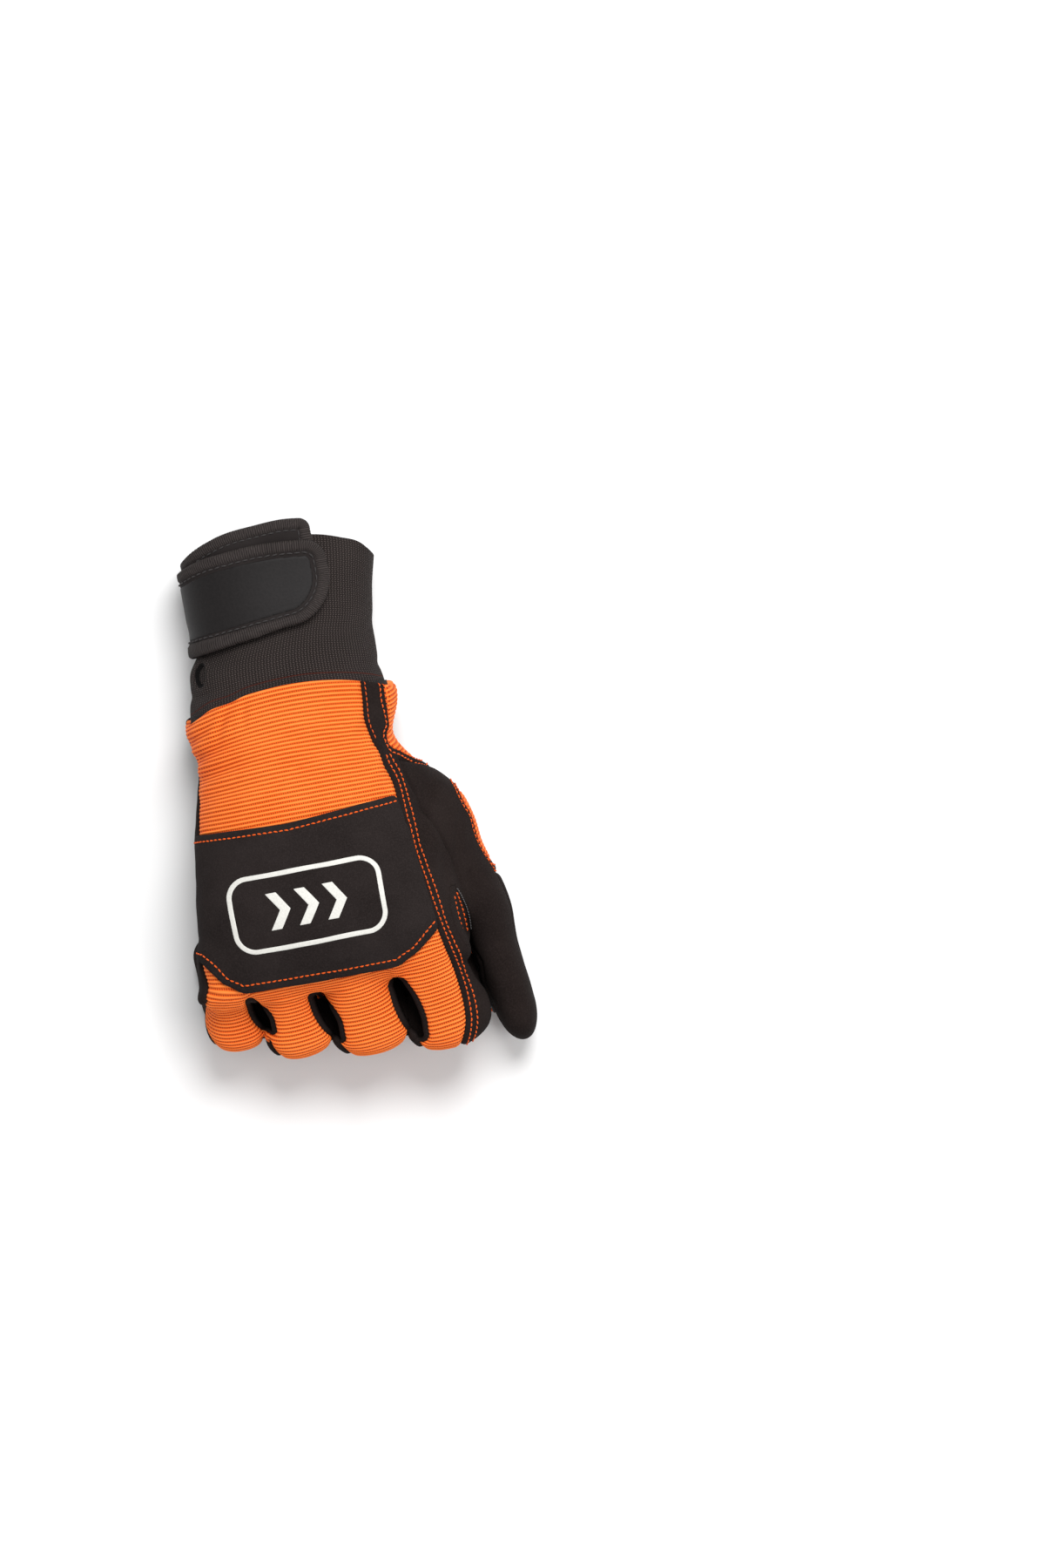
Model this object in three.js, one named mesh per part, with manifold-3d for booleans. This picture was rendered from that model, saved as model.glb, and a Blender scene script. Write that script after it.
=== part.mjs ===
// Padded chainsaw work glove for the right hand, lying palm down with its fingers curled under.
// Millimetres, +Z up, +Y towards the cuff, +X towards the thumb. The glove rests on z = 0.
// Every shell piece is cut from one hollow hand form, so that neighbours meet at a sewn seam's gap.
import * as THREE from 'three';
import { mergeVertices } from 'three/addons/utils/BufferGeometryUtils.js';
import Module from 'manifold-3d';

// Hand form
const PALM_LENGTH = 124; // finger roots to wrist seam
const PALM_WIDTH = 120;
const KNUCKLE_HEIGHT = 76; // back of the hand above the table
const SHELL_WALL = 3; // leather or stretch fabric with its padding
const SEAM_GAP = 0.35; // between two pieces sewn together

// Fingers and thumb
const FINGER_WIDTH = 33; // middle finger at its root
const FINGER_DEPTH = 27; // middle finger, back to palm side
const FINGER_SPACING = 0.5; // between neighbours at their middle joints
const FINGER_TAPER = 0.955; // width past the root, as a share
const FINGER_REACH = 19; // middle joint of the middle finger, past the finger roots
const FINGER_CURL = 37; // from that joint back to the fingertip, along the table
const TIP_PRESS = 0.5; // how far a fingertip is pressed flat on the table
const THUMB_LENGTH = 146; // wrist root to tip joint
const THUMB_WIDTH = 29;
const THUMB_DEPTH = 43;

// Cuff and strap
const CUFF_WIDTH = 82;
const CUFF_HEIGHT = 51;
const CUFF_LENGTH = 66; // wrist seam to the top of the cuff's arched rim
const CUFF_TUCK = 9; // part of the cuff inside the hand
const CUFF_WALL = 2.5;
const WRIST_EASE = 1.2; // slack between cuff and hand at the seam
const STRAP_WIDTH = 39;
const STRAP_THICKNESS = 2;
const STRAP_REACH = 66; // from the cuff's little-finger side to the strap's round end
const STRAP_OFFSET = 25; // wrist seam to the strap's nearer edge
const UNDER_STRAP_RISE = 9; // how far the lower layer shows past the upper one
const BINDING_WIDTH = 4.5;
const BINDING_THICKNESS = 0.8;
const LABEL_INSET = 7.5; // strap edge to the printed panel
const LABEL_THICKNESS = 0.5;

// Patches
const PATCH_THICKNESS = 2;
const BADGE_WIDTH = 67;
const BADGE_HEIGHT = 33.5;
const BADGE_LINE = 2;
const BADGE_CORNER = 9;
const BADGE_THICKNESS = 0.7;
const CHEVRON_COUNT = 3;
const CHEVRON_HEIGHT = 15;
const CHEVRON_LINE = 4.5;
const CHEVRON_PITCH = 12;
const GRIP_THICKNESS = 1.5;

// Facets round each form, outside and in its cavity
const HAND_SIDES = { outer: 26, inner: 16 };
const FINGER_SIDES = { outer: 10, inner: 8 };
const THUMB_SIDES = { outer: 12, inner: 6 };
const CUFF_SIDES = { outer: 24, inner: 14 };
const FAR = 400; // a cutter's reach past everything it cuts

// Hand sections. y: share of PALM_LENGTH from the finger roots; left and right: shares of PALM_WIDTH;
// top, side and bottom: shares of KNUCKLE_HEIGHT, side being the height of the widest point.
const HAND_SECTIONS = [
  { y: -0.012, left: -0.455, right: 0.415, top: 0.79, side: 0.69, bottom: 0.6 },
  { y: 0.015, left: -0.505, right: 0.46, top: 0.87, side: 0.68, bottom: 0.52 },
  { y: 0.08, left: -0.518, right: 0.475, top: 0.94, side: 0.66, bottom: 0.46 },
  { y: 0.16, left: -0.5, right: 0.472, top: 0.985, side: 0.63, bottom: 0.41 },
  { y: 0.26, left: -0.478, right: 0.46, top: 1, side: 0.59, bottom: 0.33 },
  { y: 0.39, left: -0.455, right: 0.432, top: 0.965, side: 0.53, bottom: 0.2 },
  { y: 0.54, left: -0.425, right: 0.395, top: 0.915, side: 0.47, bottom: 0.07 },
  { y: 0.69, left: -0.392, right: 0.352, top: 0.86, side: 0.42, bottom: 0.01 },
  { y: 0.81, left: -0.366, right: 0.334, top: 0.815, side: 0.39, bottom: -0.01 },
];

// Seams of the stretch back, in the same shares: the orange panel lies between left and right.
const BACK_SEAMS = [
  { y: 0, left: -0.495, right: 0.385 },
  { y: 0.1, left: -0.5, right: 0.375 },
  { y: 0.24, left: -0.462, right: 0.365 },
  { y: 0.4, left: -0.438, right: 0.342 },
  { y: 0.55, left: -0.41, right: 0.315 },
  { y: 0.68, left: -0.388, right: 0.29 },
  { y: 0.79, left: -0.372, right: 0.24 },
  { y: 0.89, left: -0.39, right: 0.235 },
  { y: 1.02, left: -0.39, right: 0.265 },
];

// Knuckle patch edge, going round: x share of PALM_WIDTH, y share of PALM_LENGTH.
const PATCH_EDGE = [
  { x: -0.404, y: 0.583 },
  { x: -0.09, y: 0.567 },
  { x: 0.302, y: 0.594 },
  { x: 0.33, y: 0.44 },
  { x: 0.352, y: 0.25 },
  { x: 0.362, y: 0.125 },
  { x: 0.28, y: 0.065 },
  { x: 0.205, y: 0.027 },
  { x: -0.348, y: 0.032 },
  { x: -0.41, y: 0.075 },
  { x: -0.47, y: 0.16 },
  { x: -0.45, y: 0.3 },
  { x: -0.426, y: 0.45 },
];

// Stretch gusset on the thumb side of the wrist: it lies past edge (share of PALM_WIDTH),
// between the heights low and high (shares of KNUCKLE_HEIGHT).
const GUSSET_SECTIONS = [
  { y: 0.33, edge: 0.48, low: 0.19, high: 0.31 },
  { y: 0.44, edge: 0.47, low: 0.14, high: 0.38 },
  { y: 0.56, edge: 0.45, low: 0.1, high: 0.42 },
  { y: 0.66, edge: 0.38, low: 0.08, high: 0.46 },
  { y: 0.73, edge: 0.31, low: 0.08, high: 0.6 },
  { y: 0.8, edge: 0.295, low: 0.08, high: 0.7 },
  { y: 0.89, edge: 0.325, low: 0.08, high: 0.72 },
  { y: 1.02, edge: 0.33, low: 0.08, high: 0.72 },
];

// Fingers, little to index. width and depth: shares of FINGER_WIDTH and FINGER_DEPTH; reach and curl: shares
// of FINGER_REACH and FINGER_CURL; knuckle and middle: heights of the two joints, shares of KNUCKLE_HEIGHT;
// back and aside: width of the stretch fabric and how far it lies to the thumb side, shares of the finger's width.
const FINGERS = [
  {
    name: 'little', width: 0.73, depth: 0.87, reach: 0.42, curl: 0.74, knuckle: 0.7, middle: 0.41,
    back: 0.72, aside: -0.01,
  },
  {
    name: 'ring', width: 0.873, depth: 0.96, reach: 0.82, curl: 0.92, knuckle: 0.755, middle: 0.47,
    back: 0.7, aside: 0,
  },
  {
    name: 'middle', width: 1, depth: 1, reach: 1, curl: 1, knuckle: 0.785, middle: 0.5,
    back: 0.72, aside: 0,
  },
  {
    name: 'index', width: 1.016, depth: 1, reach: 1.14, curl: 1.04, knuckle: 0.77, middle: 0.5,
    back: 0.68, aside: -0.1,
  },
];
const KNUCKLE_SETBACK = 18; // knuckle joint behind the finger roots
const MIDDLE_ROOT_X = 4; // middle finger's knuckle joint
const ROOT_SPREAD = 0.98; // spacing of the knuckle joints, over the spacing at the middle joints
const FINGER_LEAN = 4.25; // how far the middle finger leans to the thumb side, knuckle to middle joint
const CAP_SEAM = 0.42; // cap seam, as a share of the middle phalanx
const LAST_JOINT = 0.34; // last finger joint, as a share of the curl
const CROTCH_SEAM = 6; // seam between the hand and the fingers, behind the finger roots

// Thumb joints. x, y: shares of THUMB_LENGTH from its root; width, depth: shares of THUMB_WIDTH and
// THUMB_DEPTH; z: share of THUMB_DEPTH.
const THUMB_ROOT = { x: 0.19, y: 0.855 }; // shares of PALM_WIDTH and PALM_LENGTH
const THUMB_JOINTS = [
  { x: 0, y: 0, z: 0.62, width: 0.95, depth: 0.95 },
  { x: 0.187, y: -0.3, z: 0.56, width: 0.98, depth: 1 },
  { x: 0.275, y: -0.55, z: 0.49, width: 0.7, depth: 0.92 },
  { x: 0.331, y: -0.91, z: 0.4, width: 0.6, depth: 0.81 },
];

// Cuff sections. y: share of CUFF_LENGTH from the wrist seam; left and right: shares of CUFF_WIDTH;
// top, side and bottom: shares of CUFF_HEIGHT. Below the table the knit is pressed flat.
const CUFF_SECTIONS = [
  { y: 0.06, left: -0.512, right: 0.488, top: 1.03, side: 0.5, bottom: 0.02 },
  { y: 0.2, left: -0.5, right: 0.49, top: 1, side: 0.47, bottom: -0.04 },
  { y: 0.52, left: -0.465, right: 0.508, top: 0.96, side: 0.46, bottom: -0.05 },
  { y: 0.8, left: -0.44, right: 0.56, top: 0.94, side: 0.46, bottom: -0.05 },
  { y: 1.3, left: -0.42, right: 0.59, top: 0.92, side: 0.46, bottom: -0.05 },
];

const wasm = await Module();
wasm.setup();

const sum = (a, b) => a + b;
const mix = (a, b, t) => a + (b - a) * t;

/** A row of a table at any y, between its two nearest rows. */
function rowAt(rows, y) {
  const next = rows.findIndex((row) => row.y >= y);
  if (next === 0) return rows[0];
  if (next < 0) return rows[rows.length - 1];
  const [a, b] = [rows[next - 1], rows[next]];
  const t = (y - a.y) / (b.y - a.y);
  return Object.fromEntries(Object.keys(a).map((key) => [key, mix(a[key], b[key], t)]));
}

/** Table shares as millimetres: sizes maps a column to the size that it is a share of. */
function scaled(rows, sizes) {
  return rows.map((row) => Object.fromEntries(
    Object.entries(row).map(([key, share]) => [key, key in sizes ? share * sizes[key] : share])));
}

const HAND_SIZES = {
  x: PALM_WIDTH, y: PALM_LENGTH, left: PALM_WIDTH, right: PALM_WIDTH, edge: PALM_WIDTH,
  top: KNUCKLE_HEIGHT, side: KNUCKLE_HEIGHT, bottom: KNUCKLE_HEIGHT, low: KNUCKLE_HEIGHT, high: KNUCKLE_HEIGHT,
};
const CUFF_SIZES = {
  y: CUFF_LENGTH, left: CUFF_WIDTH, right: CUFF_WIDTH, top: CUFF_HEIGHT, side: CUFF_HEIGHT, bottom: CUFF_HEIGHT,
};

const backSeams = scaled(BACK_SEAMS, HAND_SIZES);
const gussetSections = scaled(GUSSET_SECTIONS, HAND_SIZES);
const patchEdge = scaled(PATCH_EDGE, HAND_SIZES);

// The tucked end of the cuff stands clear of the shell's underside, and the shell closes round it.
const tuckLift = SHELL_WALL + SEAM_GAP;
const cuffRows = scaled(CUFF_SECTIONS, CUFF_SIZES).map((row) => ({ ...row, y: row.y + PALM_LENGTH }));
const seamRow = { ...cuffRows[0], bottom: tuckLift };
const cuffSections = [
  { ...seamRow, y: PALM_LENGTH - CUFF_TUCK },
  { ...seamRow, y: PALM_LENGTH + SEAM_GAP },
  ...cuffRows,
];
const wristGrow = WRIST_EASE + SHELL_WALL + SEAM_GAP;
const wristRow = {
  left: seamRow.left - wristGrow,
  right: seamRow.right + wristGrow,
  top: seamRow.top + wristGrow,
  side: seamRow.side,
  bottom: 0,
};
const handSections = [
  ...scaled(HAND_SECTIONS, HAND_SIZES),
  { ...wristRow, y: PALM_LENGTH - CUFF_TUCK, left: wristRow.left - WRIST_EASE, right: wristRow.right + WRIST_EASE },
  { ...wristRow, y: PALM_LENGTH },
];

/** A mesh's geometry as a solid. */
function solidOf(geometry) {
  const bare = new THREE.BufferGeometry().setAttribute('position', geometry.getAttribute('position'));
  if (geometry.index) bare.setIndex(geometry.index);
  const merged = mergeVertices(bare, 1e-4);
  const vertProperties = new Float32Array(merged.attributes.position.array);
  const triVerts = new Uint32Array(merged.index.array);
  return new wasm.Manifold(new wasm.Mesh({ numProp: 3, vertProperties, triVerts }));
}

/** A closed solid through rings of equally many points, facing out whichever way the rings run. */
function loft(rings) {
  const sides = rings[0].length;
  const points = rings.flat();
  const middles = [rings[0], rings[rings.length - 1]].map((ring) => ring
    .reduce((total, p) => total.add(p), new THREE.Vector3())
    .divideScalar(sides));
  const first = points.push(...middles) - 2;
  const index = [];
  for (let k = 0; k < sides; k += 1) {
    const next = (k + 1) % sides;
    for (let r = 0; r < rings.length - 1; r += 1) {
      const [a, b] = [r * sides + k, r * sides + next];
      index.push(a, b, b + sides, a, b + sides, a + sides);
    }
    const last = (rings.length - 1) * sides;
    index.push(first, next, k, first + 1, last + k, last + next);
  }
  const along = middles[1].clone().sub(middles[0]);
  const spin = rings[0][0].clone().sub(middles[0]).cross(rings[0][1].clone().sub(middles[0]));
  if (spin.dot(along) < 0) index.reverse();
  const geometry = new THREE.BufferGeometry().setFromPoints(points);
  geometry.setIndex(index);
  return solidOf(geometry);
}

/** Points of a squared ellipse: across and up are half sizes, and down replaces up below the middle. */
function ovalPoints(sides, across, up, down = up, power = 2.4) {
  return Array.from({ length: sides }, (_, k) => {
    const angle = ((k + 0.5) / sides) * Math.PI * 2;
    const [c, s] = [Math.cos(angle), Math.sin(angle)];
    const u = Math.sign(c) * Math.abs(c) ** (2 / power) * across;
    const w = Math.sign(s) * Math.abs(s) ** (2 / power) * (s > 0 ? up : down);
    return new THREE.Vector2(u, w);
  });
}

const sidesFor = (counts, grow) => (grow < 0 ? counts.inner : counts.outer);

/** A section row as a ring across the hand, moved out by grow and pressed flat on the table. */
function sectionRing(row, grow, counts, floor) {
  const middle = (row.left + row.right) / 2;
  const half = (row.right - row.left) / 2 + grow;
  return ovalPoints(sidesFor(counts, grow), half, row.top - row.side + grow, row.side - row.bottom + grow)
    .map((p) => new THREE.Vector3(middle + p.x, row.y, Math.max(floor, row.side + p.y)));
}

/** The hand without its fingers. grow moves its surface out; a cavity has a negative one. */
function handForm(grow) {
  const floor = Math.max(0, -grow);
  const ends = handSections.length - 1;
  const rows = handSections.map((row, k) => ({ ...row, y: row.y - (k === 0 ? grow : 0) }));
  if (grow < 0) rows.push({ ...rows[ends], y: PALM_LENGTH + FAR });
  return loft(rows.map((row) => sectionRing(row, grow, HAND_SIDES, floor)));
}

/** The cuff's tube without its arched rim. */
function cuffForm(grow) {
  const floor = Math.max(0, -grow);
  const rows = cuffSections.map((row) => ({ ...row }));
  rows[0].y -= grow < 0 ? FAR : 0;
  rows[rows.length - 1].y += grow < 0 ? FAR : 0;
  return loft(rows.map((row) => sectionRing(row, grow, CUFF_SIDES, floor)));
}

// Angles of the rings that round an end, from the full section to the tip.
const ROUNDING = [0, 52].map(THREE.MathUtils.degToRad);

/** One straight, round-ended length of a finger or thumb between two joints. */
function phalanx(from, to, across, grow, counts) {
  const axis = to.at.clone().sub(from.at).normalize();
  const up = new THREE.Vector3().crossVectors(across, axis).normalize();
  const side = new THREE.Vector3().crossVectors(axis, up);
  const ring = (joint, angle, way) => {
    const centre = joint.at.clone().addScaledVector(axis, way * Math.sin(angle) * (joint.depth / 2 + grow));
    const shrink = Math.cos(angle);
    return ovalPoints(sidesFor(counts, grow), (joint.width / 2 + grow) * shrink, (joint.depth / 2 + grow) * shrink)
      .map((p) => centre.clone().addScaledVector(side, p.x).addScaledVector(up, p.y));
  };
  return loft([
    ...[...ROUNDING].reverse().map((angle) => ring(from, angle, -1)),
    ...ROUNDING.map((angle) => ring(to, angle, 1)),
  ]);
}

/** A box from its lowest to its highest corner, as a solid. */
function box(low, high) {
  const geometry = new THREE.BoxGeometry(...high.map((v, k) => v - low[k]));
  geometry.translate(...high.map((v, k) => (v + low[k]) / 2));
  return solidOf(geometry);
}

const above = (z) => box([-FAR, -FAR, z], [FAR, FAR, FAR]);
const joined = (solids) => solids.reduce((all, solid) => all.add(solid));

// Finger joints, worked out from the widths so that neighbours keep their spacing.
const fingerWidths = FINGERS.map((finger) => finger.width * FINGER_WIDTH * FINGER_TAPER);
const MIDDLE = 2; // the middle finger's place in the table
const stepTo = (k) => (fingerWidths[k] + fingerWidths[k + 1]) / 2 + FINGER_SPACING;
const offsets = FINGERS.map((_, k) => (k < MIDDLE
  ? -[...Array(MIDDLE - k).keys()].map((n) => stepTo(k + n)).reduce(sum, 0)
  : [...Array(k - MIDDLE).keys()].map((n) => stepTo(MIDDLE + n)).reduce(sum, 0)));

/** Joints of one finger, with the upright plane that it bends in. */
function fingerJoints(finger, k) {
  const width = finger.width * FINGER_WIDTH;
  const depth = finger.depth * FINGER_DEPTH;
  const knuckle = new THREE.Vector3(
    MIDDLE_ROOT_X + offsets[k] * ROOT_SPREAD, KNUCKLE_SETBACK, finger.knuckle * KNUCKLE_HEIGHT);
  const middle = new THREE.Vector3(
    MIDDLE_ROOT_X + FINGER_LEAN + offsets[k], -finger.reach * FINGER_REACH, finger.middle * KNUCKLE_HEIGHT);
  const forward = middle.clone().sub(knuckle).setZ(0).normalize();
  const across = new THREE.Vector3(0, 0, 1).cross(forward);
  const back = finger.curl * FINGER_CURL;
  const rest = depth * FINGER_TAPER / 2 - TIP_PRESS;
  const last = middle.clone().addScaledVector(forward, -back * LAST_JOINT).setZ(rest);
  const tip = middle.clone().addScaledVector(forward, -back).setZ(rest);
  const slim = { width: width * FINGER_TAPER, depth: depth * FINGER_TAPER };
  return {
    forward,
    across,
    joints: [{ at: knuckle, width, depth }, { at: middle, ...slim }, { at: last, ...slim }, { at: tip, ...slim }],
  };
}

const fingers = FINGERS.map((finger, k) => ({ ...finger, ...fingerJoints(finger, k) }));

function fingerForm({ joints, across }, grow, first = 0) {
  return joined(joints.slice(first, -1)
    .map((joint, k) => phalanx(joint, joints[first + k + 1], across, grow, FINGER_SIDES)));
}

const thumbJoints = THUMB_JOINTS.map((joint) => ({
  at: new THREE.Vector3(
    THUMB_ROOT.x * PALM_WIDTH + joint.x * THUMB_LENGTH,
    THUMB_ROOT.y * PALM_LENGTH + joint.y * THUMB_LENGTH,
    joint.z * THUMB_DEPTH),
  width: joint.width * THUMB_WIDTH,
  depth: joint.depth * THUMB_DEPTH,
}));

function thumbForm(grow, first = 0) {
  const up = new THREE.Vector3(0, 0, 1);
  return joined(thumbJoints.slice(first, -1).map((joint, k) => {
    const next = thumbJoints[first + k + 1];
    const across = next.at.clone().sub(joint.at).setZ(0).normalize().cross(up).negate();
    return phalanx(joint, next, across, grow, THUMB_SIDES);
  }));
}

/** The whole glove's form without its cuff, pressed flat on the table. */
function gloveForm(grow) {
  const form = joined([handForm(grow), thumbForm(grow), ...fingers.map((finger) => fingerForm(finger, grow))]);
  return form.intersect(above(Math.max(0, -grow)));
}

/** An upright cutter with a plan outline. */
function prism(shape, low = -FAR, high = FAR) {
  const geometry = new THREE.ExtrudeGeometry(shape, { depth: high - low, bevelEnabled: false, curveSegments: 3 });
  geometry.translate(0, 0, low);
  return solidOf(geometry);
}

/** A cutter in a finger's bending plane: outline points are (forward, up) from the knuckle joint. */
function bendPrism({ joints, forward, across }, outline, width, aside = 0) {
  const geometry = new THREE.ExtrudeGeometry(new THREE.Shape(outline), { depth: width, bevelEnabled: false });
  geometry.translate(0, 0, -width / 2 - aside);
  const origin = joints[0].at.clone().setZ(0);
  const up = new THREE.Vector3(0, 0, 1);
  geometry.applyMatrix4(new THREE.Matrix4()
    .makeBasis(forward, up, across.clone().negate())
    .setPosition(origin));
  return solidOf(geometry);
}

/** A finger's joints as (forward, up) points, and its cap seam with the way along and out of the finger there. */
function bendPlan({ joints, forward }) {
  const flat = joints.map(({ at }) => new THREE.Vector2(at.clone().sub(joints[0].at).dot(forward), at.z));
  const along = flat[2].clone().sub(flat[1]).normalize();
  const seam = flat[1].clone().lerp(flat[2], CAP_SEAM);
  return { flat, seam, along, out: new THREE.Vector2(-along.y, along.x) };
}

/** The side of a finger that the stretch fabric covers, down to the cap seam. */
function fingerBackCutter(finger, grow) {
  const { flat, seam, along, out } = bendPlan(finger);
  const end = seam.clone().addScaledVector(along, grow - SEAM_GAP / 2);
  const reach = FINGER_DEPTH * 0.65;
  const width = finger.joints[1].width;
  return bendPrism(finger, [
    flat[0],
    flat[1],
    end,
    end.clone().addScaledVector(out, reach),
    flat[1].clone().add(new THREE.Vector2(reach, reach / 2)),
    flat[0].clone().add(new THREE.Vector2(0, FINGER_DEPTH * 1.5)),
  ], finger.back * width + 2 * grow, finger.aside * width);
}

/** The end of a finger past its cap seam. */
function fingerCapCutter(finger, grow) {
  const { flat, seam, along, out } = bendPlan(finger);
  const start = seam.clone().addScaledVector(along, SEAM_GAP / 2 - grow);
  const reach = FINGER_DEPTH;
  return bendPrism(finger, [
    start.clone().addScaledVector(out, reach),
    start.clone().addScaledVector(out, -reach / 2),
    flat[3].clone().add(new THREE.Vector2(-reach, reach * 0.75)),
    flat[3].clone().add(new THREE.Vector2(-reach, -reach)),
    start.clone().addScaledVector(out, reach).add(new THREE.Vector2(0, -reach)),
  ], finger.joints[1].width + FINGER_SPACING).intersect(fingerForm(finger, grow, 1));
}

/** Room above the side seams for the stretch back of the hand. */
function handBackCutter(grow) {
  return loft(backSeams.map(({ y, left, right }, k) => {
    const low = rowAt(handSections, y).side - grow;
    const at = k === 0 ? y - grow : y;
    return [[left - grow, low], [right + grow, low], [right + grow, FAR], [left - grow, FAR]]
      .map(([x, z]) => new THREE.Vector3(x, at, z));
  }));
}

function gussetCutter(grow) {
  return loft(gussetSections.map(({ y, edge, low, high }) => (
    [[edge - grow, low - grow], [FAR, low - grow], [FAR, high + grow], [edge - grow, high + grow]]
      .map(([x, z]) => new THREE.Vector3(x, y - (y === gussetSections[0].y ? grow : 0), z)))));
}

function planShape(points) {
  return new THREE.Shape(points.map(({ x, y }) => new THREE.Vector2(x, y)));
}

/** Where the middle of the slot past finger k lies at a given y; outside the hand it is far away. */
function slotX(k, y) {
  if (k < 0 || k === fingers.length - 1) return k < 0 ? -FAR : FAR;
  const [a, b] = [fingers[k].joints, fingers[k + 1].joints];
  const edge = (n) => ({
    x: (a[n].at.x + a[n].width / 2 + b[n].at.x - b[n].width / 2) / 2,
    y: (a[n].at.y + b[n].at.y) / 2,
  });
  const [root, end] = [edge(0), edge(1)];
  return mix(root.x, end.x, (y - root.y) / (end.y - root.y));
}

/** A finger's own strip of the plan, from the crotch seam outwards. */
function fingerLane(k) {
  const [near, far] = [CROTCH_SEAM, -FAR];
  const half = SEAM_GAP / 2;
  return prism(planShape([
    { x: slotX(k - 1, near) + half, y: near },
    { x: slotX(k - 1, far) + half, y: far },
    { x: slotX(k, far) - half, y: far },
    { x: slotX(k, near) - half, y: near },
  ]));
}

/** A layer that lies on a form: from inner to outer above it, clear of everything below. */
function layer(form, under, inner, outer) {
  return form(outer).subtract(under(inner));
}

const shell = gloveForm(0).subtract(gloveForm(-SHELL_WALL));
const backCutter = (grow) => joined([
  handBackCutter(grow), ...fingers.map((finger) => fingerBackCutter(finger, grow))]);
const thumbCutter = (grow) => thumbForm(SEAM_GAP * 2 + grow, 1).subtract(handForm(SEAM_GAP - grow));

const capCutters = fingers.map((finger) => fingerCapCutter(finger, 0));
const wideCaps = joined(fingers.map((finger) => fingerCapCutter(finger, SEAM_GAP)));

const gusset = shell.intersect(gussetCutter(0)).subtract(backCutter(SEAM_GAP));
const stretchBack = shell.intersect(backCutter(0)).subtract(wideCaps);
const thumb = shell.intersect(thumbCutter(0)).subtract(gussetCutter(SEAM_GAP));
const leather = [backCutter(SEAM_GAP), wideCaps, gussetCutter(SEAM_GAP), thumbCutter(SEAM_GAP)]
  .reduce((rest, cutter) => rest.subtract(cutter), shell);
const handLane = box([-FAR, CROTCH_SEAM + SEAM_GAP, -FAR], [FAR, FAR, FAR]);
const palm = leather.intersect(handLane);

// Knuckle patch and its print
const patchLow = SEAM_GAP;
const patchHigh = patchLow + PATCH_THICKNESS;
const printLow = patchHigh + SEAM_GAP;
const printHigh = printLow + BADGE_THICKNESS;
const knucklePatch = layer(handForm, gloveForm, patchLow, patchHigh)
  .intersect(prism(planShape(patchEdge), rowAt(handSections, 0).side));
const BADGE_CENTRE = { x: -0.081 * PALM_WIDTH, y: 0.283 * PALM_LENGTH };

function roundedRectangle(width, height, corner, shape = new THREE.Shape()) {
  const [cx, cy, x, y] = [BADGE_CENTRE.x, BADGE_CENTRE.y, width / 2 - corner, height / 2 - corner];
  shape.absarc(cx + x, cy - y, corner, -Math.PI / 2, 0);
  shape.absarc(cx + x, cy + y, corner, 0, Math.PI / 2);
  shape.absarc(cx - x, cy + y, corner, Math.PI / 2, Math.PI);
  shape.absarc(cx - x, cy - y, corner, Math.PI, Math.PI * 1.5);
  shape.closePath();
  return shape;
}

const frameShape = roundedRectangle(BADGE_WIDTH, BADGE_HEIGHT, BADGE_CORNER);
frameShape.holes.push(roundedRectangle(
  BADGE_WIDTH - 2 * BADGE_LINE, BADGE_HEIGHT - 2 * BADGE_LINE, BADGE_CORNER - BADGE_LINE, new THREE.Path()));
const printLayer = layer(handForm, handForm, printLow, printHigh);
const badgeFrame = printLayer.intersect(prism(frameShape, KNUCKLE_HEIGHT / 2));

/** One arrow-shaped bar of the generic print. */
function chevron(k) {
  const x = BADGE_CENTRE.x + (k - (CHEVRON_COUNT - 1) / 2) * CHEVRON_PITCH - CHEVRON_LINE;
  const [y, half, point] = [BADGE_CENTRE.y, CHEVRON_HEIGHT / 2, CHEVRON_HEIGHT / 3];
  return planShape([
    { x, y: y - half }, { x: x + CHEVRON_LINE, y: y - half }, { x: x + CHEVRON_LINE + point, y },
    { x: x + CHEVRON_LINE, y: y + half }, { x, y: y + half }, { x: x + point, y },
  ]);
}

// Grip patches on the gripping side
const gripLow = SEAM_GAP;
const gripHigh = gripLow + GRIP_THICKNESS;
const GRIP_EDGE = scaled([
  { x: -0.36, y: 0.13 }, { x: 0.33, y: 0.13 }, { x: 0.36, y: 0.3 }, { x: 0.3, y: 0.46 }, { x: 0.2, y: 0.6 },
  { x: -0.05, y: 0.66 }, { x: -0.27, y: 0.56 }, { x: -0.37, y: 0.38 },
], HAND_SIZES);
const palmGrip = layer(handForm, gloveForm, gripLow, gripHigh)
  .intersect(prism(planShape(GRIP_EDGE), 0, rowAt(handSections, 0.3 * PALM_LENGTH).side * 0.8));
const thumbTip = thumbJoints[thumbJoints.length - 1];
const thumbMiddle = thumbJoints[thumbJoints.length - 2];
const thumbGrip = layer((grow) => thumbForm(grow, 2), gloveForm, gripLow, gripHigh)
  .intersect(box(
    [-FAR, thumbTip.at.y - thumbTip.width * 0.2, thumbTip.at.z * 0.35],
    [thumbTip.at.x - thumbTip.width * 0.15, thumbMiddle.at.y - thumbMiddle.width * 0.3, thumbTip.at.z * 1.6]))
  .subtract(handForm(gripHigh));

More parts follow.
